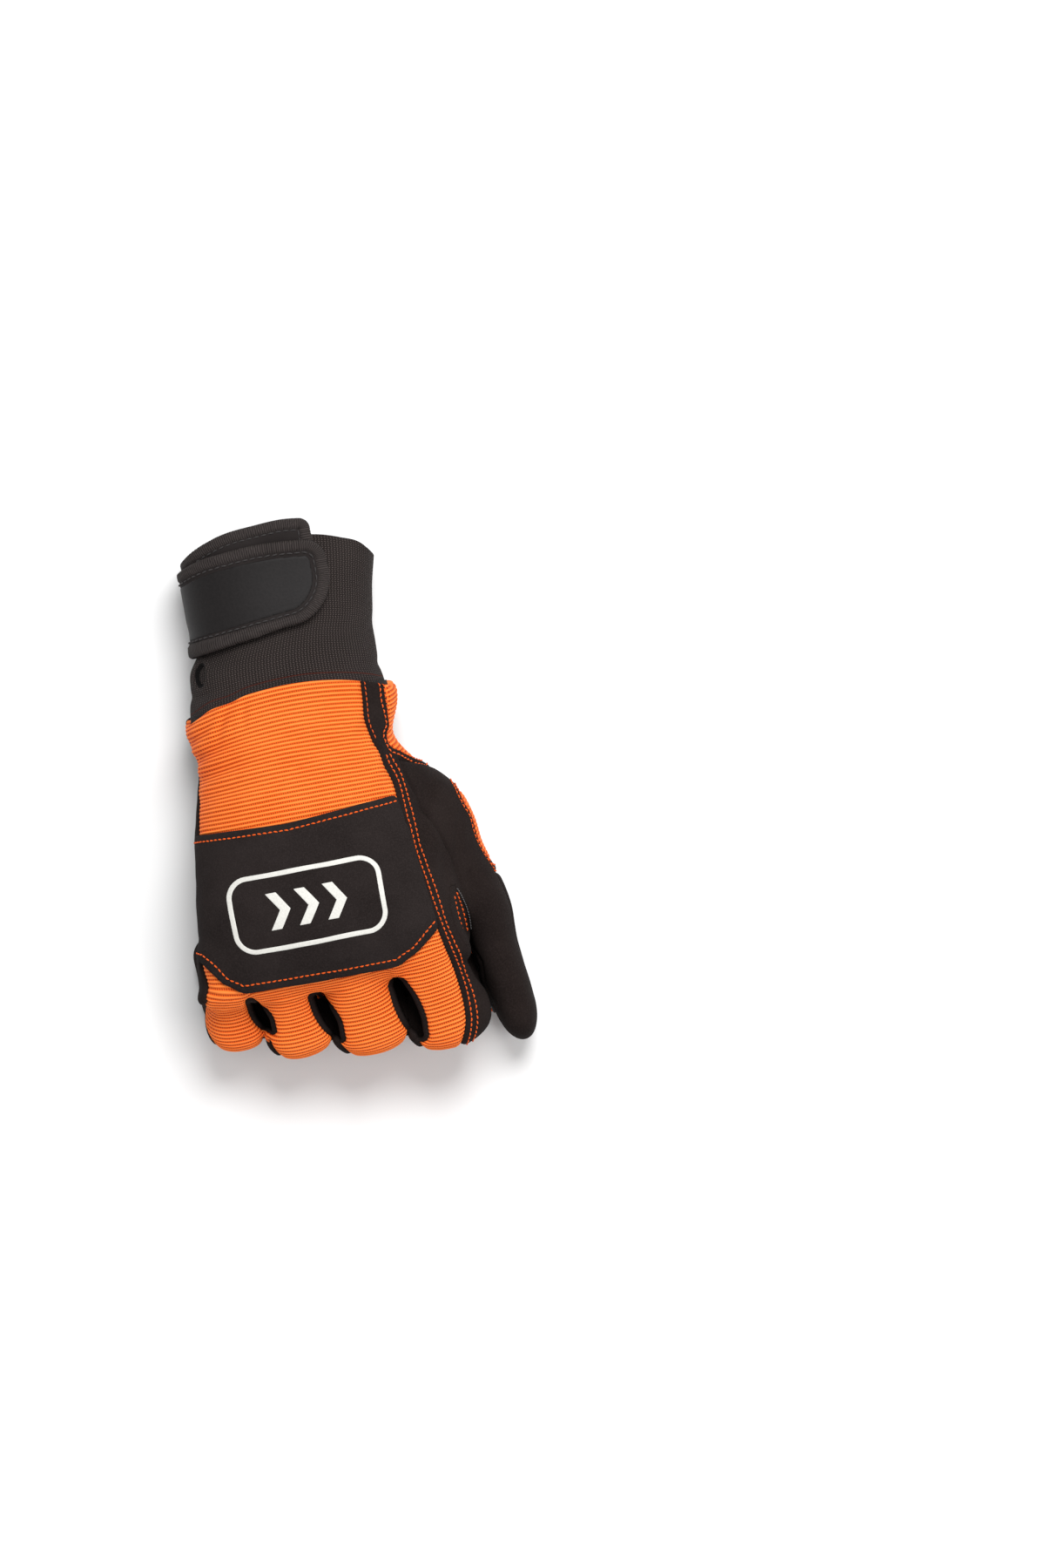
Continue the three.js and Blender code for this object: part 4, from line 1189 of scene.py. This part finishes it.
def studs(surface, grid_u, grid_v, keep, pitch=STUD_PITCH, height=STUD_HEIGHT):
    """Raised hexagons in a honeycomb over a surface, given two flat coordinates of its points."""
    tree = KDTree(len(surface.co))
    for k, (a, b) in enumerate(zip(grid_u, grid_v)):
        tree.insert((a, b, 0), k)
    tree.balance()
    row_step = pitch * math.sqrt(3) / 2
    pieces = []
    angle = np.arange(6) / 6 * 2 * math.pi + math.pi / 6
    for j in range(int(grid_v.min() / row_step) - 1, int(grid_v.max() / row_step) + 2):
        for i in range(int(grid_u.min() / pitch) - 1, int(grid_u.max() / pitch) + 2):
            a = (i + 0.5 * (j % 2)) * pitch
            b = j * row_step
            _, near, distance = tree.find((a, b, 0))
            if distance > 0.8 or not keep[near]:
                continue
            normal = surface.data["normal"][near]
            centre = surface.co[near].copy()
            side = unit(np.cross(normal, (0, 1, 0.001)))
            up = np.cross(side, normal)
            circle = np.cos(angle)[:, None] * side + np.sin(angle)[:, None] * up
            rings = [centre + normal * (rise * height) + radius * pitch * circle for radius, rise in STUD_PROFILE]
            stud = grid_surface(np.array(rings), closed=True)
            facing = np.cross(stud.co[1] - stud.co[0], stud.co[6] - stud.co[0]) @ (stud.co[0] - centre)
            walls = stud.tri[:, ::-1] if facing < 0 else stud.tri
            first = 6 * (len(STUD_PROFILE) - 1)
            top = [(first, first + k, first + k + 1) for k in range(1, 5)]
            pieces.append(Surface(stud.co, np.concatenate([walls, np.array(top)]), normal=stud.data["normal"]))
    return join(pieces)


# The skin and its pieces

skin = sample_skin(SKIN_STEP, 0.0)
at_fingers = finger_values(skin.co)
skin.data["thumb_side"] = np.minimum(hand_field(skin.co), at_fingers.min(0)) - thumb_values(skin.co)
skin.data["near"] = at_fingers.argmin(0).astype(float)
for name, values in zip(("base_x", "base_y", "base_z"), skin.co.T.copy()):
    skin.data[name] = values
move = 0.22 * ripple(skin.co, 34) + 0.10 * ripple(skin.co, 13) - fold_depth(skin.co, skin.data["normal"])
skin.push(np.where(skin.co[:, 2] < 0.6, 0, move) * smoothstep(0.0, 4.0, skin.co[:, 2]))
skin.data["normal"] = vertex_normals(skin)


def base(surface):
    """Where a surface's points lay before folds moved them."""
    return np.stack([surface.data["base_x"], surface.data["base_y"], surface.data["base_z"]], 1)


def wrist_end(p):
    """Hem line of the hand's shell: arched over the back, lower at both sides."""
    x = p[:, 0]
    arch = 4.5 - 7.5 * (x / 42) ** 2 + 0.5 * np.sin(x / 3.1) * smoothstep(-8, -30, x)
    return PALM_LENGTH - 1 + (arch + 1) * smoothstep(14, 34, p[:, 2])


def cut(surface, region):
    return clip(surface, region(base(surface)))


def seam_profile(distance, rise, dip, reach):
    """Height of a padded piece by the distance to its seam: it dips into the seam and swells past it."""
    return rise - (rise + dip) * np.exp(-(distance / reach) ** 1.4)


def settle(surface, kind):
    """Puff a piece out between its seams and turn its border in."""
    rise, dip, reach, _ = PUFF[kind]
    measure_edge(surface)
    surface.push(seam_profile(surface.data["edge"], rise, dip, reach) * smoothstep(0.0, 2.5, surface.co[:, 2]))
    return surface


def ribbed(surface, kind):
    """A stretch piece: puffed between its seams, with its ribs raised."""
    surface = settle(refined(surface), kind)
    lift = RIB_HEIGHT * np.cos(surface.data["rib"] * 2 * math.pi / RIB_PITCH)
    surface.push(lift * smoothstep(0.3, 3, surface.co[:, 2]))
    return surface


def sewn_object(name, surface, kind, material, nodes, most=None):
    """A panel of the glove, with its border turned down into the seams."""
    return make_object(name, add_rim(surface, PUFF[kind][3]), material, nodes, most)


skin = clip(skin, wrist_end(base(skin)) - base(skin)[:, 1])

back = cut(skin, back_region)
others = cut(skin, lambda p: -back_region(p))
gusset = cut(others, gusset_region)
others = cut(others, lambda p: -gusset_region(p))
past_cap_seam = cap_region(base(others), np.round(others.data["near"]))
caps = clip(others, past_cap_seam)
others = clip(others, -past_cap_seam)
_, others_y, others_z = base(others).T
thumb_value = np.minimum(others.data["thumb_side"], THUMB_START - others_y + 0.25 * others_z)
thumb = clip(others, thumb_value)
leather = clip(others, -thumb_value)

for piece in (leather, thumb):
    piece.data["from_back"], _ = border_distance(piece, back)
    piece.data["from_gusset"], _ = border_distance(piece, gusset)
back.data["rib"] = rib_run(base(back))
back.data["across"] = back.data["base_x"].copy()
gusset.data["rib"] = gusset.data["base_y"] + 0.2 * gusset.data["base_z"]
gusset.data["across"] = gusset.data["base_z"] + gusset.data["base_x"]


back = ribbed(back, "back")
gusset = ribbed(gusset, "gusset")
leather = settle(leather, "hand")
thumb = settle(thumb, "thumb")

finger_names = [row["name"] for row in fingers]
sewn_object("stretch_back", back, "back", STRETCH,
            ["back_fabric"] + [f"finger_back_{name}" for name in finger_names], BACK_TRIANGLES)
sewn_object("stretch_side", gusset, "gusset", STRETCH, ["wrist_gusset"])
padded = [
    sewn_object("suede_hand", leather, "hand", SUEDE,
                ["palm_leather"] + [f"finger_{name}" for name in finger_names], HAND_TRIANGLES),
    sewn_object("suede_thumb", thumb, "thumb", SUEDE, ["thumb"]),
]
for k, name in enumerate(finger_names):
    cap = settle(clip(caps, 0.5 - np.abs(caps.data["near"] - k)), "cap")
    padded.append(sewn_object(f"suede_cap_{name}", cap, "cap", SUEDE, [f"cap_{name}"]))

# Knuckle patch: a flat layer on the stretch back, with a cut edge

PLAN = (PALM_WIDTH, PALM_LENGTH)
patch_outline = round_outline(PATCH_EDGE, PLAN, 2.5)


def edge_curve(sheet, roundness):
    """1 inside a sheet, curving down to 0 at its border."""
    return np.sqrt(1 - np.clip(1 - sheet.data["edge"] / roundness, 0, 1) ** 2)


def layer(surface, value, low, thick, roundness):
    """A sheet lying on a surface: cut to a value, lifted, with a rounded edge."""
    sheet = clip(surface, value)
    measure_edge(sheet)
    sheet.push(low + thick * (0.35 + 0.65 * edge_curve(sheet, roundness)))
    return sheet


skin_top = clip(skin, np.minimum(base(skin)[:, 2] - 0.55 * KNUCKLE_HEIGHT, 82 - base(skin)[:, 1]))
patch_base = base(skin_top)
patch_value = np.minimum(in_polygon_distance(patch_base, patch_outline), left_seam(patch_base) + 0.6)
row_outline = np.array(PATCH_EDGE[:3] + ROW_CORNERS + PATCH_EDGE[5:]) * PLAN
skin_top.data["outline"] = in_polygon_distance(patch_base, row_outline)
patch = layer(skin_top, patch_value, 0.45, 1.5, 0.8)
padded.insert(2, make_object("patch", add_rim(patch, 1.5), PATCH_SUEDE, ["knuckle_patch"]))


# Badge print on the patch

PRINT_X = BADGE_X + 1.6  # moved a little, as the camera sees the raised back larger


def badge_value(p):
    """Inside the line round the badge."""
    x, y = np.abs(p[:, 0] - PRINT_X), np.abs(p[:, 1] - BADGE_Y)

    def rounded(inset):
        dx = x - (BADGE_WIDTH / 2 - BADGE_CORNER)
        dy = y - (BADGE_HEIGHT / 2 - BADGE_CORNER)
        return (BADGE_CORNER - inset
                - np.hypot(np.maximum(dx, 0), np.maximum(dy, 0)) - np.minimum(np.maximum(dx, dy), 0))

    return np.minimum(rounded(0), -rounded(BADGE_LINE))


def chevron_value(p, k):
    """Inside one of the badge's chevrons."""
    point = CHEVRON_HEIGHT / 3
    x = p[:, 0] - (PRINT_X + (k - (CHEVRON_COUNT - 1) / 2) * CHEVRON_PITCH - CHEVRON_LINE)
    y = np.abs(p[:, 1] - BADGE_Y)
    lean = x - point * (1 - y / (CHEVRON_HEIGHT / 2))
    return np.minimum.reduce([lean, CHEVRON_LINE - lean, CHEVRON_HEIGHT / 2 - y])


def film(surface, value, low, thick, slope, rim):
    """A thin film on a surface, cut to a value, whose edge slopes down to it."""
    sheet = clip(surface, value)
    distance, _ = border_distance(sheet)
    sheet.push(low + thick * np.minimum(distance / slope, 1))
    return add_rim(sheet, rim)


def print_on(surface, value, name, node):
    make_object(name, film(surface, value, 0.05, 0.16, 0.3, 0.2), PRINT, [node])


badge_area = in_polygon_distance(base(patch), [
    (PRINT_X + sx * (BADGE_WIDTH / 2 + 2), BADGE_Y + sy * (BADGE_HEIGHT / 2 + 2))
    for sx, sy in ((-1, -1), (1, -1), (1, 1), (-1, 1))])
badge_ground = refined(clip(patch, badge_area))
badge_base = base(badge_ground)
print_on(badge_ground, badge_value(badge_base), "print_frame", "badge_frame")
for k in range(CHEVRON_COUNT):
    print_on(badge_ground, chevron_value(badge_base, k), f"print_chevron_{k + 1}", f"badge_chevron_{k + 1}")


# Cuff

def cuff_ring(y, grow, angles):
    """Points round the cuff at each y, pressed flat on the table."""
    row = section(CUFF, y)
    middle = (row["left"] + row["right"]) / 2
    half = (row["right"] - row["left"]) / 2 + grow
    c, s = np.cos(angles), np.sin(angles)
    power = 2 / 2.4
    u = np.sign(c) * np.abs(c) ** power
    w = np.sign(s) * np.abs(s) ** power
    rise = np.where(s > 0, row["top"] - row["side"], row["side"] - row["bottom"]) + grow
    floor = max(0.0, -grow)
    z = row["side"] + w * rise
    z = floor + np.logaddexp(0, (z - floor) / 0.8) * 0.8
    return np.stack([middle + u * half, y + 0 * u, z], -1)


def even_angles(count):
    """Angles that space the cuff's points evenly."""
    fine = np.linspace(0, 2 * math.pi, 2001)
    ring = cuff_ring(np.full(2001, PALM_LENGTH + 30.0), 0, fine)
    run = run_along(ring)
    return np.interp(np.arange(count) / count * run[-1], run, fine), run[-1]


# The cuff's arched rim: x across the cuff, and y
RIM = [(-45, 183), (-36, 184.5), (-20, 188.5), (0, 190.2), (20, 190), (34, 186.4), (44, 181.6), (49, 175.8)]

# The eyelet beside the strap: its middle, and its half length and half width
EYELET_PLACE = (-36.0, 139.8, 37.9)
EYELET_HALF = (6.4, 4.0)


def eyelet(p):
    """1 in the middle of the cuff's eyelet, 0 at its edge, and under 0 outside it."""
    x, y, z = EYELET_PLACE
    along = (p[:, 1] - y) + 0.12 * (p[:, 0] - x)
    across = np.hypot(p[:, 0] - x, p[:, 2] - z)
    return 1 - np.hypot(along / EYELET_HALF[0], across / EYELET_HALF[1])


def make_cuff(around=300, along=150):
    """The cuff's wall: up its outside, over its rim and down its inside."""
    angles, girth = even_angles(around)
    foot = PALM_LENGTH - CUFF_TUCK - 10
    half_wall = CUFF_WALL / 2
    rim = spline(*zip(*RIM), cuff_ring(np.full(around, 185.0), 0, angles)[:, 0])
    v = np.linspace(0, 1, along)
    rows = [cuff_ring(foot + share * (rim - half_wall - foot), 0, angles) for share in v]
    for t in np.linspace(0, math.pi, 9)[1:-1]:
        grow = -half_wall + half_wall * math.cos(t)
        rows.append(cuff_ring(rim - half_wall + half_wall * math.sin(t), grow, angles))
    rows += [cuff_ring(foot + share * (rim - half_wall - foot), -CUFF_WALL, angles) for share in v[::-2]]
    points = np.array(rows)
    surface = grid_surface(points, closed=True)
    if surface.data["normal"][around // 4][2] < 0:
        surface.flip()
    outer = np.repeat(np.arange(len(rows)) < along + 4, around)
    hole = eyelet(surface.co) * outer
    surface.data["around"] = np.tile(np.arange(around) / around * girth, len(rows))
    surface.data["along"] = np.repeat(run_along(points[:, around // 4]), around)
    surface.data["hem"] = surface.co[:, 1] - wrist_end(surface.co)
    surface.data["hole"] = hole
    wobble = 0.35 * ripple(surface.co, 42) + 0.15 * ripple(surface.co, 15)
    pleat = 0.5 * np.exp(-((surface.co[:, 1] - PALM_LENGTH - 7) / 2.2) ** 2)
    move = (wobble - pleat * outer) * smoothstep(0.3, 5, surface.co[:, 2])
    dent = -1.8 * smoothstep(0.02, 0.4, hole) + 0.45 * np.exp(-((hole + 0.28) / 0.2) ** 2) * outer
    surface.push(move + dent)
    surface.data["normal"] = vertex_normals(surface)
    return surface


make_object("knitted_cuff", make_cuff(), KNIT, ["knit_cuff"], CUFF_TRIANGLES)


# Strap: an under layer and an upper layer that wrap the cuff from its little-finger side

STRAP_NEAR = PALM_LENGTH + STRAP_OFFSET
STRAP_FAR = STRAP_NEAR + STRAP_WIDTH
STRAP_END = -CUFF_WIDTH / 2 + STRAP_REACH
STRAP_FOOT = 11  # height over the table at which the layers start
STRAP_LEVEL = STRAP_NEAR + 2  # the strap lies flat from here to its near edge
STRAP_STEP = 0.55

# The layers' edges: x across the cuff, and y
UNDER_NEAR = [(-60, 152), (40, 154)]
UNDER_FAR = [(-60, 178), (-39, 183), (-31, 190), (-19, 195.2), (0, 197.6), (12, 197.9), (19, 197.0), (40, 193)]
UPPER_NEAR = [(-60, 145), (-38, 146.8), (-3, 151), (10, 152.3), (40, 154)]
UPPER_FAR = [(-60, 176), (-38, 182), (-28, 186.5), (-14, 188.6), (0, 189.2), (22, 187.5), (40, 186)]


def cuff_patch(grow):
    """Fine sheet over the cuff's back and little-finger side."""
    fine = np.linspace(math.radians(35), math.radians(205), 2001)
    ring = cuff_ring(np.full(2001, 170.0), grow, fine)
    run = run_along(ring)
    angles = np.interp(np.arange(0, run[-1], STRAP_STEP), run, fine)
    ys = np.arange(STRAP_NEAR - 4, STRAP_FAR + UNDER_STRAP_RISE + 5, STRAP_STEP)
    points = np.array([cuff_ring(np.full(len(angles), max(y, STRAP_LEVEL)), grow, angles) for y in ys])
    points[:, :, 1] = ys[:, None]
    surface = grid_surface(points)
    if surface.data["normal"][len(angles) // 3][2] < 0:
        surface.flip()
    return surface


def strap_value(p, near_table, far_table, sweep, corner_radius, end):
    """Inside of the strap's outline: a long curve at the near corner, a small one at the far corner."""
    x, y, z = p.T
    near = spline(*zip(*near_table), x)
    far = spline(*zip(*far_table), x)
    value = np.minimum.reduce([y - near, far - y, end - x])
    for radius_x, radius_y, centre_y, side in (
            (sweep, sweep * 1.05, STRAP_NEAR + 2.5 + sweep * 1.05, -1),
            (corner_radius, corner_radius, far - corner_radius, 1)):
        dx = np.maximum(x - (end - radius_x), 0) / radius_x
        dy = np.maximum((y - centre_y) * side, 0) / radius_y
        corner = (1 - np.hypot(dx, dy)) * min(radius_x, radius_y)
        value = np.where((dx > 0) & (dy > 0), np.minimum(value, corner), value)
    return np.minimum(value, z - STRAP_FOOT)


strap_ground = cuff_patch(0.0)


def closed_sheet(sheet, height, low):
    """A sheet with its top lifted to a height and its underside at low, sharing the border."""
    top = sheet.copy()
    top.push(height)
    under = sheet.copy()
    edge = np.clip(sheet.data["edge"] / 0.5, 0, 1)
    under.push(height * (1 - edge) + low * edge)
    under.tri = under.tri[:, ::-1]
    result = join([top, under])
    result.data["normal"] = vertex_normals(result)
    return result, top


def binding_height(sheet, width=BINDING_WIDTH, rise=0.55):
    """The folded edge's swell, and the groove where it is sewn down."""
    edge = sheet.data["edge"]
    rise = rise * smoothstep(STRAP_FOOT, 30, sheet.co[:, 2])
    swell = rise * np.clip(1 - ((edge - width / 2) / (width / 2)) ** 2, 0, 1) ** 0.5
    groove = -0.35 * np.exp(-((edge - width) / 0.45) ** 2)
    return swell * (edge < width) + groove


def strap_layer(outline, low, thick, roundness, under, groove=0.0):
    """One layer of the strap: the whole of it, and its top alone."""
    sheet = clip(strap_ground, strap_value(strap_ground.co, *outline))
    measure_edge(sheet)
    height = low + thick * edge_curve(sheet, roundness)
    height = height + binding_height(sheet) - groove * smoothstep(5.2, 6.5, sheet.data["edge"])
    return closed_sheet(sheet, height, under)


lower, under_top = strap_layer((UNDER_NEAR, UNDER_FAR, 18, 4, STRAP_END - 3.0), 0.4, 1.9, 1.0, 0.35)
make_object("strap_lower_layer", lower, STRAP, ["strap_under"])
upper, upper_top = strap_layer((UPPER_NEAR, UPPER_FAR, 21, 8, STRAP_END + 0.8), 2.75, 1.9, 1.1, 2.6, groove=0.25)
make_object("strap_upper_layer", upper, STRAP, ["strap_upper", "strap_binding"])
panel = film(upper_top, upper_top.data["edge"] - LABEL_INSET + 0.6, 0.06, 0.2, 0.5, 0.3)
make_object("strap_panel", panel, LABEL, ["strap_label"])


# Grip patches with studs, one on the palm and one on the thumb's inner side

def grip_object(name, pad, grid_u, grid_v, border, nodes):
    """A rubber patch with studs, which keep clear of its border."""
    raised = studs(pad, pad.data[grid_u], pad.data[grid_v], pad.data["edge"] > border)
    make_object(name, join([add_rim(pad, 1.2), raised]), RUBBER, nodes)


palm_side = clip(skin, 0.6 * KNUCKLE_HEIGHT - base(skin)[:, 2])
facing_down = -palm_side.data["normal"][:, 2]
grip_outline = round_outline(GRIP_EDGE, PLAN, 6)
grip_value = np.minimum(in_polygon_distance(base(palm_side), grip_outline), (facing_down - 0.25) * 20)
grip = layer(palm_side, grip_value, 0.8, 1.0, 0.6)
grip_object("palm_rubber", grip, "base_x", "base_y", 5.0, ["palm_grip"])

thumb_skin = clip(skin, skin.data["thumb_side"])
_, pad_y, pad_z = base(thumb_skin).T
facing_in = -thumb_skin.data["normal"][:, 0]
last_joint, tip = (joint[0] for joint in thumb_joints()[-2:])
thumb_grip_value = np.minimum.reduce([
    (facing_in - 0.55) * 20, pad_z - 4, 18 - pad_z, last_joint[1] - 6 - pad_y, pad_y - tip[1] + 2])
thumb_pad = layer(thumb_skin, thumb_grip_value, 0.8, 1.0, 0.6)
grip_object("thumb_rubber", thumb_pad, "base_z", "base_y", 4.5, ["thumb_grip"])


# Lining seen through the wrist

inside = sample_skin(LINING_STEP, -SHELL_WALL)
inside = clip(inside, PALM_LENGTH - 1 - inside.co[:, 1])
inside.flip()
make_object("inner_lining", inside, LINING)


# Inner layer seen in the slit between the thumb and the hand: its middle line in plan, and its half width
SLIT_TOP = (53.4, 31.5)
SLIT_END = (55.0, 6.0)
SLIT_HALF = 3.0


def slit_layer(rows=40, columns=12, sag=1.6):
    """A sheet hung between the two edges of the slit, as a grid of points."""
    ground = np.concatenate([leather.co, thumb.co])
    ground = ground[ground[:, 2] > 13]
    t = np.linspace(0, 1, rows)
    middle = np.array(SLIT_TOP) * (1 - t[:, None]) + np.array(SLIT_END) * t[:, None]
    half = SLIT_HALF * np.sin(math.pi * np.clip(t, 0.02, 0.98)) ** 0.6

    def on_ground(x, y):
        near = np.hypot(ground[:, 0] - x, ground[:, 1] - y) < 0.9
        return ground[near, 2].max() if near.any() else np.nan

    edges = []
    for side in (-1, 1):
        x, y = middle[:, 0] + side * half, middle[:, 1]
        z = np.array([on_ground(*place) for place in zip(x, y)])
        found = ~np.isnan(z)
        z = np.interp(t, t[found], z[found])
        z = np.convolve(np.pad(z, 3, mode="edge"), np.ones(7) / 7, "valid")
        edges.append(np.stack([x, y, z - 0.3], 1))
    s = np.linspace(0, 1, columns)[None, :, None]
    points = edges[0][:, None] * (1 - s) + edges[1][:, None] * s
    points[:, :, 2] -= sag * np.sin(math.pi * s[0, :, 0]) * np.sin(math.pi * t)[:, None]
    return points


slit_points = slit_layer()
slit = grid_surface(slit_points)
if slit.data["normal"][:, 2].mean() < 0:
    slit.flip()
make_object("slit_lining", add_rim(slit, 1.0), SUEDE)
slit_normals = slit.data["normal"].reshape(slit_points.shape)


def slit_line(share, first, last):
    """A line along the slit's inner layer, as points with their normals."""
    column = int(round(share * (slit_points.shape[1] - 1)))
    rows = slice(int(first * len(slit_points)), int(last * len(slit_points)))
    return np.concatenate([slit_points[rows, column], slit_normals[rows, column]], 1)


# Stitching

def rows_at(surface, name, insets, accept, shortest=7):
    """Lines at given distances from a seam, only where accept says so of their x, y and z."""
    lines = []
    for inset in insets:
        for line in contour(surface, surface.data[name] - inset):
            good = np.concatenate([[False], accept(*line[:, :3].T), [False]])
            turns = np.flatnonzero(good[1:] != good[:-1]).reshape(-1, 2)
            lines += [line[start:end] for start, end in turns if end - start >= shortest]
    return lines


orange_lines = [slit_line(0.36, 0.16, 0.88), slit_line(0.73, 0.12, 0.84)]
orange_lines += rows_at(patch, "outline", [3.0], lambda x, y, z: (y > 66) | (y < np.where(x < 0, 24, 18.5)))
orange_lines += rows_at(grip, "edge", [1.4, 3.4], lambda x, y, z: z > -1)
orange_lines += rows_at(thumb_pad, "edge", [1.2, 3.0], lambda x, y, z: z > -1)
orange_lines += rows_at(leather, "from_back", [2.1, 4.8], lambda x, y, z: (x > 31) & (y < 92) & (z > 26))
for piece in (leather, thumb):
    orange_lines += rows_at(piece, "from_gusset", [1.9, 4.5], lambda x, y, z: (z > 22) & (y > 30))
faint_lines = rows_at(leather, "from_back", [1.3], lambda x, y, z: (x > 28) & (y > 97) & (z > 30))
orange = join([stitches(orange_lines), stitches(faint_lines, radius=0.22, lift=0.05)])
make_object("orange_stitching", orange, THREAD)

dark_lines = rows_at(upper_top, "edge", [BINDING_WIDTH + 0.9], lambda x, y, z: z > 12)
dark_lines += rows_at(under_top, "edge", [BINDING_WIDTH + 0.6], lambda x, y, z: (z > 12) & (y > 170))
dark = stitches(dark_lines, pitch=3.2, length=2.5, radius=0.36)
make_object("black_stitching", dark, DARK_THREAD)
cut_edge = stitches([slit_line(1.0, 0.05, 0.78)], pitch=1.4, length=1.3, radius=0.3, lift=0.45)
make_object("crotch_edge", cut_edge, EDGE_THREAD)


# Floor, light and camera

IMAGE = (1200, 1800)
PIXEL_MM = 0.37
PHOTO_TURN = math.radians(10.8)
PHOTO_MIDDLE = (90.5, 68.4)
SENSOR_MM = 24
VIEW_DISTANCE = 4.0
LENS_HEIGHT = 0.045
FLOOR_HALF = 3.0
FLOOR_SHINE = 0.5
SKY_STRENGTH = 0.40

# Soft lights: name, place, size, power and the place aimed at
LIGHTS = [
    ("key", (0.35, 0.75, 1.4), 0.9, 27, (0, 0, 0)),
    ("fill", (0.9, -0.5, 1.2), 1.0, 7, (0, 0, 0.03)),
    ("rake", (-0.9, -0.7, 0.8), 0.6, 2.5, (0, 0, 0.03)),
]


def make_camera():
    data = bpy.data.cameras.new("camera")
    data.sensor_fit = "HORIZONTAL"
    data.sensor_width = SENSOR_MM
    width = IMAGE[0] * PIXEL_MM / 1000
    data.lens = data.sensor_width * VIEW_DISTANCE / width
    data.clip_end = 20
    camera = bpy.data.objects.new("camera", data)
    bpy.context.scene.collection.objects.link(camera)
    x, y, _ = to_world((*PHOTO_MIDDLE, 0))
    camera.location = (x, y, VIEW_DISTANCE + LENS_HEIGHT)
    camera.rotation_euler = (0, 0, -PHOTO_TURN)
    bpy.context.scene.camera = camera


def make_area_light(name, place, size, power, aim):
    data = bpy.data.lights.new(name, "AREA")
    data.shape = "DISK"
    data.size = size
    data.energy = power
    light = bpy.data.objects.new(name, data)
    light.location = place
    light.rotation_euler = (Vector(aim) - Vector(place)).to_track_quat("-Z", "Y").to_euler()
    bpy.context.scene.collection.objects.link(light)


def make_stage():
    mesh = bpy.data.meshes.new("floor")
    corners = [(x * FLOOR_HALF, y * FLOOR_HALF, 0) for x, y in ((-1, -1), (1, -1), (1, 1), (-1, 1))]
    mesh.from_pydata(corners, [], [(0, 1, 2, 3)])
    floor = bpy.data.objects.new("floor", mesh)
    bpy.context.scene.collection.objects.link(floor)
    s = Shader("pale_floor")
    mesh.materials.append(s.finish(s.mix(s.noise(3, 2), (0.86, 0.86, 0.86), (0.88, 0.88, 0.88)), 0.9, FLOOR_SHINE))
    world = bpy.data.worlds.new("studio")
    world.use_nodes = True
    sky = world.node_tree.nodes["Background"]
    sky.inputs["Color"].default_value = (1, 1, 1, 1)
    sky.inputs["Strength"].default_value = SKY_STRENGTH
    bpy.context.scene.world = world
    for light in LIGHTS:
        make_area_light(*light)
    bpy.context.scene.view_settings.view_transform = "Standard"


make_camera()
make_stage()
